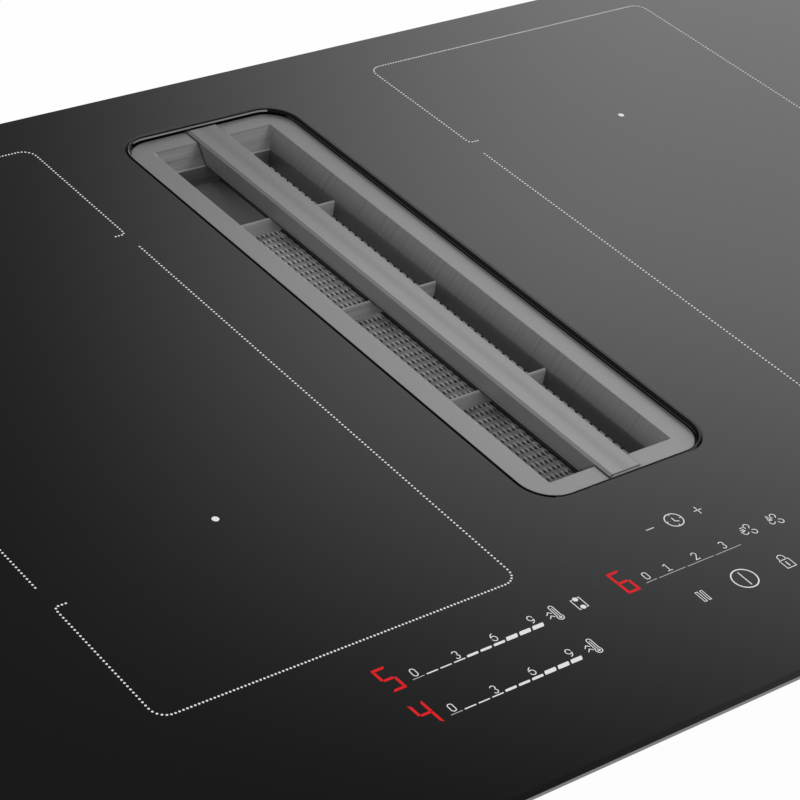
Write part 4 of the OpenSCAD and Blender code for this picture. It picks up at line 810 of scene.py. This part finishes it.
class COOKTOP_OT_grille_frame(bpy.types.Operator):
    """Grille frame: a flat rim with a rolled edge, sloping walls and upright walls, as one swept profile."""
    bl_idname = "cooktop.grille_frame"
    bl_label = "Grille frame"

    def execute(self, context):
        vent = context.scene.cooktop_vent
        top, low, foot, t = GRILLE_HIGH[2], GRILLE_LOW[2], vent.slope_low, vent.sheet

        # Half width and half depth of the flange, of the slopes' mouth and of the throat below them
        w, d = (GRILLE_HIGH[0] - GRILLE_LOW[0]) / 2, (GRILLE_HIGH[1] - GRILLE_LOW[1]) / 2
        mw, md = w - vent.flange_side, d - vent.flange_end
        tw, td = mw - vent.slope_side, md - vent.slope_end

        # Corner radii in plan of the flange and the mouth, and the radius of the flange's edge
        r, m, u = vent.flange_round, vent.mouth_round, vent.edge_round
        under, tight = top - t, 0.4 * m

        def slope(down):
            """The ring that far down the slope, from 0 at the mouth to 1 at the foot."""
            return np.array([mw + (tw - mw) * down, md + (td - md) * down, m * (1 - 0.6 * down),
                             top + (foot - top) * down])

        # The edge where slope and upright wall meet: a curve of squared weights between a point on each
        f = np.linspace(0, 1, 5)[:, None]
        wall = np.array([tw, td, tight, foot - 0.6 * MM])
        bend = (1 - f) ** 2 * slope(0.92) + 2 * f * (1 - f) * slope(1.0) + f ** 2 * wall
        rings = [
            (w, d, r, under), (w, d, r, top - u), (w - 0.3 * u, d - 0.3 * u, r, top - 0.3 * u),
            (w - u, d - u, r - u, top), (mw + 0.3 * MM, md + 0.3 * MM, m + 0.3 * MM, top),
            (mw + 0.1 * MM, md + 0.1 * MM, m + 0.1 * MM, top - 0.02 * MM), slope(0.03), *bend,
            (tw, td, tight, low + 0.2 * MM), (tw + 0.2 * MM, td + 0.2 * MM, tight, low),
            (tw + t, td + t, tight + t, low), (tw + t, td + t, tight + t, foot - 0.3 * MM),
            (mw + t, md + t, m + t, under),
        ]
        swept_rim("grille_frame_sheet", rings, 8, bpy.data.materials["look_grille_steel"], "grille", sharp=28,
                  replaced=["grille_frame"], slot="grille_steel")
        return {"FINISHED"}


class COOKTOP_OT_cross_bars(bpy.types.Operator):
    """Cross bars: upright strips with a rounded top edge between the grille's walls."""
    bl_idname = "cooktop.cross_bars"
    bl_label = "Cross bars"

    def execute(self, context):
        vent = context.scene.cooktop_vent
        half, crown, top, low = vent.web_thick / 2, vent.web_crown, WEB_HIGH[2], WEB_LOW[2]
        middle = (WEB_LOW[1] + WEB_HIGH[1]) / 2 - vent.web_shift
        turn = np.radians(np.linspace(0, 180, 7))
        arch = [(half * c, top - crown + crown * s) for c, s in zip(np.cos(turn), np.sin(turn))]
        outline = crisp([(half - 0.2 * MM, low), (half, low + 0.2 * MM), *arch,
                         (-half, low + 0.2 * MM), (-half + 0.2 * MM, low)])

        def painted_light(tree, place, facing, shade):
            """Painted shade: the crown darker, which tones down its highlight."""
            return toned(tree, shade, span(tree, facing[2], 0.3, 0.7, 1.0, 0.6))

        # Painted light: a lighter steel than the grille's, brightening the cross bars in the shade between
        # the walls
        metal = brushed("cross_bar_steel", vent.web_lit_steel, 0.45, metal=0.3, painted_light=painted_light)
        for k in range(3):
            section = outline + np.array([middle + (k - 1) * vent.web_pitch, 0.0])
            lofted_bar("cross_bar_%d" % (k + 1), lambda x: section, [WEB_LOW[0], WEB_HIGH[0]], "X", metal,
                       "grille", sharp=40, replaced=["grille_crossbars"], slot="grille_steel")
        return {"FINISHED"}


class COOKTOP_OT_deflector_bar(bpy.types.Operator):
    """Deflector bar: a faintly dished top between two chamfers, and side walls over a grooved foot. At the
    ends its underside follows the grille's slope on to the flange and its top is cut to a bevel."""
    bl_idname = "cooktop.deflector_bar"
    bl_label = "Deflector bar"

    def execute(self, context):
        vent = context.scene.cooktop_vent
        half, end = (BAR_HIGH[0] - BAR_LOW[0]) / 2, (BAR_HIGH[1] - BAR_LOW[1]) / 2
        top, low, flange = BAR_HIGH[2], BAR_LOW[2], GRILLE_HIGH[2]
        mouth = end - vent.flange_end - 0.3 * MM
        throat = mouth - vent.slope_end

        # Millimetres in from the side, with millimetres below the top and then over the foot
        upper = [(2.2, 0.02), (1.5, 0.0), (1.35, 0.02), (1.25, 0.08), (0.25, 0.78), (0.12, 0.82),
                 (0.02, 0.88), (0.0, 1.0)]
        lower = [(0.0, 1.7), (0.5, 1.3), (0.5, 1.05), (0.1, 0.8), (0.1, 0.15), (0.25, 0.0)]
        side = [(half - i * MM, top - z * MM) for i, z in upper]
        side += [(half - i * MM, low + z * MM) for i, z in lower]
        right = np.array([(0.0, top - 0.06 * MM), *side, (0.0, low)])
        left = right[::-1][1:-1] * np.array([-1, 1])
        outline = crisp(np.vstack([right, left]), 0.15 * MM)

        def seat(y):
            """Height of the bar's underside: low between the slopes, up along them and on to the flange."""
            return np.interp(abs(y - VENT_Y), [throat, mouth, end], [low, flange, flange])

        def section(y):
            """The outline with its heights held between the seat and the bevelled top at this station."""
            over = np.interp(abs(y - VENT_Y), [end - vent.end_bevel, end], [top, flange + 0.25 * MM])
            return np.stack([outline[:, 0] + VENT_X, np.clip(outline[:, 1], seat(y), over)], axis=1)

        def contact_shade_strip(y):
            """A flat strip a little wider than the bar on the surface it stands on, dark as painted contact
            shadow.
            """
            wide, under, over = half + vent.shade_strip_lap, seat(y), seat(y) + vent.shade_strip_thick
            return np.array([(-wide, under), (wide, under), (wide, over), (-wide, over)]) + [VENT_X, 0.0]

        tips = np.array([1.35, 1.2, 0.8, 0.4, 0.0]) * MM
        stops = np.concatenate([np.linspace(0, throat - 1 * MM, 14), np.linspace(throat, mouth, 6),
                                [mouth + 2 * MM], end - tips])
        stops = np.unique(np.round(stops, 7))
        stations = np.concatenate([VENT_Y - stops[:0:-1], VENT_Y + stops])
        lofted_bar("deflector_bar_profile", section, stations, "Y", bpy.data.materials["look_bar_metal"],
                   "grille", sharp=32, replaced=["deflector_bar"], slot="bar_aluminium")
        # Painted shade: a dark strip along the bar's foot in place of its contact shadow
        lofted_bar("bar_contact_shade", contact_shade_strip, stations, "Y", moulded("contact_shade_black", vent.shade_strip_grey, 0.7),
                   "grille", sharp=40, slot="black_plastic")
        return {"FINISHED"}


class COOKTOP_OT_filter_sheets(bpy.types.Operator):
    """Perforated sheets: a grid whose height is the sheet's fall plus a knuckle at each crossing of two
    cosines, with an oblong opening in the middle of every cell and a scalloped edge beside the spine."""
    bl_idname = "cooktop.filter_sheets"
    bl_label = "Filter sheets"

    def execute(self, context):
        vent = context.scene.cooktop_vent
        material = sheet_material(vent)
        spine = (SPINE_HIGH[0] - SPINE_LOW[0]) / 2
        middle, crest = VENT_X + vent.rail_shift, SHEET_HIGH[2] - 1.1 * MM
        rail = crisp([(-spine, SPINE_HIGH[2]), (spine, SPINE_HIGH[2]), (spine, crest - 0.2 * MM),
                      (spine - 0.2 * MM, crest), (0.2 * MM - spine, crest), (-spine, crest - 0.2 * MM)])
        lofted_bar("filter_spine_rail", lambda y: rail + np.array([middle, 0.0]),
                   [SPINE_LOW[1], SPINE_HIGH[1]], "Y", moulded("spine_rail", vent.rail_black, 0.8), "filter",
                   slot="filter_plastic")
        fall, start = SHEET_HIGH[2] - 1.6 * MM, SHEET_HIGH[2] - 0.6 * MM
        depth, thick = SHEET_HIGH[1] - SHEET_LOW[1] - 1 * MM, 0.5 * MM
        front = (SHEET_LOW[1] + SHEET_HIGH[1]) / 2 - depth / 2
        for side, name in ((-1, "left"), (1, "right")):
            run = SHEET_HIGH[0] - SHEET_LOW[0] - side * vent.rail_shift
            nx, ny = int(run // vent.hole_across), int(depth // vent.hole_along)
            px, py = run / nx, depth / ny

            # Four steps to a cell; the eight points round its middle move out on to the oblong opening
            i, j = np.meshgrid(np.arange(4 * nx + 1), np.arange(4 * ny + 1), indexing="ij")
            a, b = (i % 4) - 2, (j % 4) - 2
            norm = np.maximum(np.hypot(a, b), 1)
            near = (np.abs(a) < 2) & (np.abs(b) < 2)
            x = np.where(near, (i // 4 + 0.5) * px + a / norm * vent.hole_wide / 2, i * px / 4)
            y = np.where(near, (j // 4 + 0.5) * py + b / norm * vent.hole_long / 2, j * py / 4)
            notch = vent.scallop * (0.5 - 0.5 * np.cos(2 * np.pi * y / py))
            across, along = 2 * np.pi * x / px, 2 * np.pi * (y - 0.12 * py) / py
            raised = (0.5 + 0.5 * np.cos(across)) * (0.5 - 0.5 * np.cos(along))
            z = fall + (start - fall) * x / run + vent.knuckle * raised
            x = spine + 0.05 * MM + x + np.clip(1 - x / px, 0, 1) * notch
            x = np.minimum(x, spine + run - 0.05 * MM)
            points = np.stack([middle + side * x, front + y, z], axis=2).reshape(-1, 3)

            # The four quads round each cell's middle are left out, and with them the points they alone used
            quads = grid_quads(4 * nx + 1, 4 * ny + 1)
            r, c = quads[:, 0] // (4 * ny + 1) % 4, quads[:, 0] % (4 * ny + 1) % 4
            quads = quads[~(((r == 1) | (r == 2)) & ((c == 1) | (c == 2)))]
            used, quads = np.unique(quads, return_inverse=True)
            quads = quads.reshape(-1, 4)
            top, n = points[used], len(used)

            # An edge that only one quad has gets a wall down to the underside
            edges = np.vstack([quads[:, [0, 1]], quads[:, [1, 2]], quads[:, [2, 3]], quads[:, [3, 0]]])
            first, count = np.unique(np.sort(edges, axis=1), axis=0, return_index=True,
                                     return_counts=True)[1:]
            rim = edges[first[count == 1]]
            walls = np.stack([rim[:, 1], rim[:, 0], rim[:, 0] + n, rim[:, 1] + n], axis=1)
            piece = add_piece("filter_sheet_%s_pressed" % name, np.vstack([top, top - [0, 0, thick]]),
                              np.vstack([quads, quads[:, ::-1] + n, walls]), material, "filter", sharp=50,
                              replaced=["filter_sheet_" + name], slot="filter_metal")
            rise = piece.data.attributes.new("raised", "FLOAT", "POINT")
            rise.data.foreach_set("value", np.tile(raised.ravel()[used], 2))

        def lip(y):
            """The right sheet's turned-up edge, its top a row of low teeth as high as a squared cosine."""
            tooth = 0.12 * MM * np.cos(np.pi * y / vent.hole_along) ** 2
            low, high = fall - 0.3 * MM, WEB_LOW[2] - 0.2 * MM - tooth
            outline = np.array([(0.0, low), (thick, low), (thick, high), (0.0, high)])
            return outline + [VENT_X + vent.lip_place, 0.0]

        stations = np.arange(SHEET_LOW[1] + 1 * MM, SHEET_HIGH[1] - 1 * MM, vent.hole_along / 6)
        lofted_bar("filter_sheet_lip", lip, stations, "Y", lip_material(vent), "filter", sharp=40,
                   slot="filter_metal")
        return {"FINISHED"}


class COOKTOP_OT_end_plate(bpy.types.Operator):
    """Plain plate over the left sheet's rear, at the sheet's fall, with one corner cut and a lip behind."""
    bl_idname = "cooktop.end_plate"
    bl_label = "End plate"

    def execute(self, context):
        vent = context.scene.cooktop_vent
        outer, inner = SHEET_LOW[0] + 0.3 * MM, SHEET_HIGH[0] + vent.rail_shift - 0.3 * MM
        front, cut, tall = WEB_HIGH[1] + 1.0 * MM, 9.0 * MM, 3.0 * MM
        back = GRILLE_HIGH[1] - vent.flange_end - vent.slope_end - 0.3 * MM
        heights = (SHEET_HIGH[2] - 0.6 * MM, SHEET_HIGH[2] - 1.6 * MM)

        def section(x):
            """The strip's thickness from its front edge to the back wall, and there an upright lip."""
            low = np.interp(x, [SHEET_LOW[0], SHEET_HIGH[0]], heights) + vent.knuckle + 0.08 * MM
            start = np.interp(x, [inner - cut, inner], [front, front + 1.3 * cut])
            top, lip = low + 0.15 * MM, low + tall
            return np.array([(start, low), (back, low), (back, lip), (back - 0.2 * MM, lip),
                             (back - 0.2 * MM, top), (start, top)])

        lofted_bar("filter_end_plate", section, [outer, inner - cut, inner - 0.5 * cut, inner], "X",
                   brushed("end_plate_steel", vent.plate_metal, 0.5, metal=0.6), "filter", sharp=30,
                   slot="filter_metal")
        return {"FINISHED"}


class COOKTOP_OT_zone_marks(bpy.types.Operator):
    """Dotted outlines of the two linked zones, in open halves with short inward ticks, and centre dots."""
    bl_idname = "cooktop.zone_marks"
    bl_label = "Zone outlines"

    def execute(self, context):
        marks = context.scene.cooktop_print
        white = printed("white_print", marks.white)
        sizes = [v / MM for v in (marks.zone_round, marks.dot_across, marks.dot_along)]
        front, back, inner_gap, outer_gap, tick = -155.8, 229.0, (141.0, 128.5), (-81.5, -67.7), 5.5
        dots = []
        for inner, outer in ((-106.5, -282.5), (106.0, 304.5)):
            inward = np.sign(outer - inner) * tick
            rear = [(inner + inward, inner_gap[0]), (inner, inner_gap[0]), (inner, back), (outer, back),
                    (outer, outer_gap[1])]
            fore = [(inner, inner_gap[1]), (inner, front), (outer, front), (outer, outer_gap[0]),
                    (outer - inward, outer_gap[0])]
            dots += [dotted(rear, *sizes), dotted(fore, *sizes)]
        small, large = marks.dot_size / 2 / MM, marks.centre_size / 2 / MM
        centres = [(-194.3, -64.0), (-194.3, 130.0), (203.1, -64.0), (203.1, 130.1)]
        dots = [ring(x, y, small, 8) for x, y in np.vstack(dots)]
        print_shapes("zone_outline_dots", dots, marks.film, white)
        print_shapes("zone_centre_dots", [ring(x, y, large, 24) for x, y in centres], marks.film, white)
        return {"FINISHED"}


def digit(value, x, y, height, width):
    """Centre lines of a plain digit about a middle point: arcs and straight runs."""
    r, h = width / 2, height / 2
    if value == 0:
        path = np.vstack([arc(x, y + h - r, r, 0, 180, 9), arc(x, y - h + r, r, 180, 360, 9)])
        return [(path, True)]
    if value == 1:
        return [(np.array([(x - r, y + h * 0.72), (x + 0.1 * r, y + h), (x + 0.1 * r, y - h)]), False),
                (np.array([(x - r, y - h), (x + r, y - h)]), False)]
    if value == 2:
        bow = arc(x, y + h - r, r, 170, -35, 10)
        return [(np.vstack([bow, [(x - r, y - h), (x + r, y - h)]]), False)]
    if value == 3:
        k = h / 2
        upper = arc(x - 0.1 * r, y + k, k, 150, -90, 11)
        lower = arc(x - 0.1 * r, y - k, k, 90, -150, 11)
        return [(upper, False), (lower, False)]
    # A six is drawn 4.3 high and scaled; a nine is the same turned half round
    turn = (1 if value == 6 else -1) * height / 4.3
    t = np.radians(np.linspace(0, 80, 9))
    loop = arc(0, -0.75, 1.25, 0, 360, 19, 1.12)[:-1]
    stem = np.stack([0.95 - 2.2 * np.cos(t), -0.75 + 2.9 * np.sin(t)], axis=1)
    return [(np.array([x, y]) + turn * loop, True), (np.array([x, y]) + turn * stem, False)]


def segments(value, x, y, width, height, thick, gap=0.16, lean=0.05):
    """The outlines of a seven-segment digit's lit bars: a top, g middle, d bottom, f b upper sides, e c lower
    sides. Bars meet in mitres with a fine gap, and the digit leans a little to the left as it rises."""
    w, h, s, g = width / 2, height / 2, thick, gap
    top = [(-w + g, h), (w - g, h), (w - s - g, h - s), (-w + s + g, h - s)]
    side = [(w, h - g), (w - s, h - s - g), (w - s, s / 2 + g), (w - s / 2, g), (w, g)]
    middle = [(-w + s + g, s / 2), (w - s - g, s / 2), (w - s / 2 - g, 0), (w - s - g, -s / 2),
              (-w + s + g, -s / 2), (-w + s / 2 + g, 0)]
    bars = {"a": (top, 1, 1), "b": (side, 1, 1), "c": (side, 1, -1), "d": (top, 1, -1), "e": (side, -1, -1),
            "f": (side, -1, 1), "g": (middle, 1, 1)}
    lit = {4: "fgbc", 5: "afgcd", 6: "afgcde"}[value]
    shapes = [np.array(bars[k][0]) * bars[k][1:] for k in lit]
    return [np.stack([x + p[:, 0] - lean * p[:, 1], y + p[:, 1]], axis=1) for p in shapes]


class COOKTOP_OT_control_marks(bpy.types.Operator):
    """The printed controls: digits, power sliders, thermometers, clock, power, lock, pause and fans."""
    bl_idname = "cooktop.control_marks"
    bl_label = "Control marks"

    def execute(self, context):
        marks = context.scene.cooktop_print
        white, grey = bpy.data.materials["look_white_print"], printed("grey_print", marks.grey)
        red = printed("lit_red", marks.red, 0.6)
        thin = marks.thin / MM
        lines, faint, shapes, pale, lit = [], [], [], [], []

        def add(path, width=thin, closed=False):
            """One more white stroke."""
            lines.append(stroke(path, width, closed))

        def numeral(value, x, y):
            """The strokes of a printed digit."""
            for path, closed in digit(value, x, y, marks.digit_tall / MM, marks.digit_wide / MM):
                add(path, thin, closed)

        def thermometer(x, y):
            """A stem with a round head, a round bulb, the column in it, and two chevrons beside it."""
            stem, bulb = 1.05, 1.5
            outline = np.vstack([arc(x, y + 3.0, stem, 0, 180, 9), arc(x, y - 3.4, bulb, 135, 405, 17)])
            add(outline, thin, True)
            add([(x, y + 2.6), (x, y - 3.2)], thin * 0.8)
            add(ring(x, y - 3.4, 0.45, 8), 0.5, True)
            for k in range(2):
                base = y + 0.9 - 2.25 * k
                add([(x - 4.5, base - 0.95), (x - 3.15, base + 0.3), (x - 1.95, base - 0.8)])

        # Power sliders: ten dashes that grow, with a digit over every third
        for x0, y0 in ((-181.05, -184.62), (-180.7, -208.12)):
            for k in range(10):
                tall = (0.42, 0.6, 0.6, 0.6, 1.25, 1.25, 1.3, 2.1, 2.1, 2.15)[k]
                lean = 0.45 if tall > 1 else 0.0
                mark = dash(x0 + 6.91 * k, y0 + 0.06 * k + tall / 2, 5.8, tall, 0.5, lean)
                (pale if k == 0 else shapes).append(mark)
            for value, right, up in ((0, 0.1, 3.5), (3, 21.5, 3.7), (6, 41.5, 4.95), (9, 62.3, 6.2)):
                numeral(value, x0 + right, y0 + up)
        for x, y in ((-106.75, -179.5), (-106.5, -203.0)):
            thermometer(x, y)

        # The sign for linked zones: two round pans between two brackets
        for y in (-177.2, -182.42):
            add(ring(-94.12, y, 0.62, 16), 1.25, True)
        add([(-92.5, -176.6), (-91.9, -176.6), (-91.8, -183.0), (-92.5, -183.0)])
        add([(-95.9, -177.0), (-96.6, -177.0), (-96.5, -183.2), (-95.9, -183.2)])

        # Fan slider
        for a, b in ((-59.9, -54.2), (-52.7, -37.9), (-36.5, -21.7), (-20.2, -5.6)):
            faint.append(stroke([(a, -183.3), (b, -183.2)], 0.42))
        for value, x in ((0, -57.1), (1, -45.1), (2, -29.0), (3, -12.9)):
            numeral(value, x, -179.6)

        # Timer
        add([(-35.8, -156.2), (-31.6, -156.2)])
        add([(-7.7, -156.0), (-3.6, -156.0)])
        add([(-5.67, -153.6), (-5.67, -158.4)])
        clock_x, clock_y, clock_r = -19.85, -156.35, 4.3
        add(ring(clock_x, clock_y, clock_r, 40), 0.5, True)
        for a in (0, 90, 180, 270):
            c, s = np.cos(np.radians(a)), np.sin(np.radians(a))
            add([(clock_x + c * 3.3, clock_y + s * 3.3), (clock_x + c * 4.0, clock_y + s * 4.0)])
        add([(-19.95, -154.9), (-19.95, -157.0), (-18.3, -157.9)], 0.5)

        # Power
        add(ring(-20.3, -201.1, 5.95, 48), 0.62, True)
        add([(-20.35, -196.9), (-20.35, -205.4)], 0.5)

        # Pause: two outlined bars
        for a, b, top, low in ((-46.25, -45.0, -198.15, -204.45), (-43.7, -42.55, -198.2, -204.35)):
            add([(a, low), (b, low), (b, top), (a, top)], 0.36, True)

        # Lock
        add([(1.4, -205.1), (6.4, -205.1), (6.4, -199.8), (1.4, -199.8)], thin, True)
        add(np.vstack([[(2.0, -199.8)], arc(3.75, -198.3, 1.75, 180, 0, 11), [(5.5, -199.8)]]))
        add([(3.7, -201.3), (3.7, -203.8)], 0.6)

        # Fans: three looped blades round a hub, one with three short lines of wind and one with a chevron
        for x, y in ((4.8, -177.3), (20.7, -177.4)):
            for a in (75, 195, 315):
                t = np.linspace(0, 1, 15)[:-1]
                reach = 3.9 * np.sin(np.pi * t) ** 0.6
                turn = np.radians(a + 34 * np.cos(np.pi * t))
                add(np.stack([x + reach * np.cos(turn), y + reach * np.sin(turn)], axis=1)[1:], thin)
        for k in range(3):
            add([(1.75 - 0.6 * k, -174.7 - 1.25 * k), (3.4 - 0.5 * k, -174.65 - 1.25 * k)])
        add([(17.1, -177.6), (18.35, -173.7), (19.4, -176.5)])
        add([(17.5, -176.6), (19.0, -176.0)])

        sizes = [v / MM for v in (marks.display_wide, marks.display_tall, marks.display_bar)]
        for value, x, y in ((5, -192.0, -179.5), (4, -191.7, -202.5), (6, -68.35, -178.1)):
            lit += segments(value, x, y, *sizes)
        print_strokes("control_print", lines, marks.film, white)
        print_strokes("control_print_grey", faint, marks.film, grey)
        print_shapes("slider_dashes", shapes, marks.film, white)
        print_shapes("slider_first_dashes", pale, marks.film, grey)
        print_shapes("display_digits", lit, marks.film, red)
        return {"FINISHED"}


def seen_directly(tree):
    """1 for rays from the camera, off a mirror or through a clear body, 0 for the rest."""
    path = tree.nodes.new("ShaderNodeLightPath").outputs
    bounced = math(tree, "MAXIMUM", path["Is Glossy Ray"], path["Is Transmission Ray"])
    return math(tree, "MAXIMUM", path["Is Camera Ray"], bounced)


def blend(tree, factor, first, second, surface):
    """Mixes two shaders by a factor into an output's surface."""
    made = tree.nodes.new("ShaderNodeMixShader")
    for socket, value in zip(made.inputs, (factor, first.outputs[0], second.outputs[0])):
        tree.links.new(value, socket)
    tree.links.new(made.outputs[0], surface)


def add_floor(scene, look, whiteness=0.97):
    """A wide floor that looks nearly white but lights the object only as a painted floor would."""
    half, z = look.floor_half, CAD_BOX[0][2] - look.floor_drop
    mesh = bpy.data.meshes.new("floor")
    corners = [(-half, -half, z), (half, -half, z), (half, half, z), (-half, half, z)]
    mesh.from_pydata(corners, [], [(0, 1, 2, 3)])
    floor = bpy.data.objects.new("floor", mesh)
    scene.collection.objects.link(floor)
    material, tree, shader = new_material("floor")[:3]
    shader.inputs["Base Color"].default_value = (*look.floor, 1.0)
    shader.inputs["Roughness"].default_value = 0.9
    shader.inputs["Specular IOR Level"].default_value = 0.0
    white = tree.nodes.new("ShaderNodeEmission")
    factor = math(tree, "MULTIPLY", seen_directly(tree), whiteness)
    blend(tree, factor, shader, white, tree.nodes["Material Output"].inputs["Surface"])
    mesh.materials.append(material)


def add_surroundings(scene, room=0.13, wall=0.08, panel=1.3, fill=0.62):
    """What the camera and mirrors see: white at the horizon, a dim room above it, and to the right a pale
    panel that fades out upwards. Every other ray meets an even grey."""
    world = bpy.data.worlds.new("studio")
    scene.world = world
    world.use_nodes = True
    tree = world.node_tree
    tree.nodes.clear()
    x, y, z = parts_of(tree, tree.nodes.new("ShaderNodeTexCoord").outputs["Generated"])
    flat = math(tree, "SQRT", math(tree, "ADD", math(tree, "MULTIPLY", x, x), math(tree, "MULTIPLY", y, y)))
    sideways = math(tree, "DIVIDE", x, math(tree, "MAXIMUM", flat, 0.001))
    right = span(tree, sideways, 0.515, 0.743, 0.0, 1.0)
    falling = span(tree, z, 0.485, 0.688, 1.0, 0.0)
    horizon = span(tree, z, 0.02, 0.12, 1.0, 0.0)
    bright = math(tree, "MULTIPLY", falling, math(tree, "MULTIPLY_ADD", right, panel, wall))
    studio = math(tree, "ADD", room, bright)
    studio = math(tree, "MULTIPLY", studio, math(tree, "SUBTRACT", 1.0, horizon))
    around = node(tree, "ShaderNodeBackground", Color=(1, 1, 1, 1))
    tree.links.new(math(tree, "ADD", studio, horizon), around.inputs["Strength"])
    soft = node(tree, "ShaderNodeBackground", Color=(1, 1, 1, 1), Strength=fill)
    blend(tree, seen_directly(tree), soft, around, tree.nodes.new("ShaderNodeOutputWorld").inputs["Surface"])


class COOKTOP_OT_stage(bpy.types.Operator):
    """Floor, soft light, studio surroundings and the camera."""
    bl_idname = "cooktop.stage"
    bl_label = "Stage"

    def execute(self, context):
        scene = context.scene
        scene.view_settings.view_transform = "Standard"
        add_floor(scene, scene.cooktop_finish)
        add_surroundings(scene)

        lamp = bpy.data.lights.new("key", "AREA")
        lamp.shape, lamp.size, lamp.energy = "DISK", 1.6, 13.0
        key = bpy.data.objects.new("key", lamp)
        key.location = (-0.7, 0.3, 1.9)
        key.rotation_euler = (np.radians(-8), np.radians(-20), 0)
        key.visible_glossy = False
        scene.collection.objects.link(key)

        lens = bpy.data.cameras.new("camera")
        lens.lens, lens.sensor_width = 120.58, 36.0
        camera = bpy.data.objects.new("camera", lens)
        camera.location = (-0.74088, -0.75644, 0.67276)
        camera.rotation_euler = tuple(np.radians((55.6122, -7.5054, -37.5512)))
        scene.collection.objects.link(camera)
        scene.camera = camera
        return {"FINISHED"}


STEPS = (COOKTOP_OT_stage, COOKTOP_OT_finishes, COOKTOP_OT_slot_trim, COOKTOP_OT_grille_frame,
         COOKTOP_OT_cross_bars, COOKTOP_OT_deflector_bar, COOKTOP_OT_filter_sheets, COOKTOP_OT_end_plate,
         COOKTOP_OT_zone_marks, COOKTOP_OT_control_marks)


class COOKTOP_PT_looks(bpy.types.Panel):
    """Lists the operators in the order in which they run, with the settings below."""
    bl_idname = "COOKTOP_PT_looks"
    bl_label = "Cooktop"
    bl_space_type = "VIEW_3D"
    bl_region_type = "UI"
    bl_category = "Cooktop"

    def draw(self, context):
        for step in STEPS:
            self.layout.operator(step.bl_idname)
        for group in settings(context.scene):
            box = self.layout.box()
            for key in group.__annotations__:
                box.prop(group, key)


CLASSES = (VentSettings, PrintSettings, FinishSettings) + STEPS + (COOKTOP_PT_looks,)


def register():
    for cls in CLASSES:
        bpy.utils.register_class(cls)
    bpy.types.Scene.cooktop_vent = bpy.props.PointerProperty(type=VentSettings)
    bpy.types.Scene.cooktop_print = bpy.props.PointerProperty(type=PrintSettings)
    bpy.types.Scene.cooktop_finish = bpy.props.PointerProperty(type=FinishSettings)


def unregister():
    del bpy.types.Scene.cooktop_vent, bpy.types.Scene.cooktop_print, bpy.types.Scene.cooktop_finish
    for cls in reversed(CLASSES):
        bpy.utils.unregister_class(cls)


def main():
    register()
    for step in STEPS:
        group, name = step.bl_idname.split(".")
        if getattr(getattr(bpy.ops, group), name)() != {"FINISHED"}:
            raise RuntimeError(step.bl_idname + " did not finish")


if __name__ == "__main__":
    main()
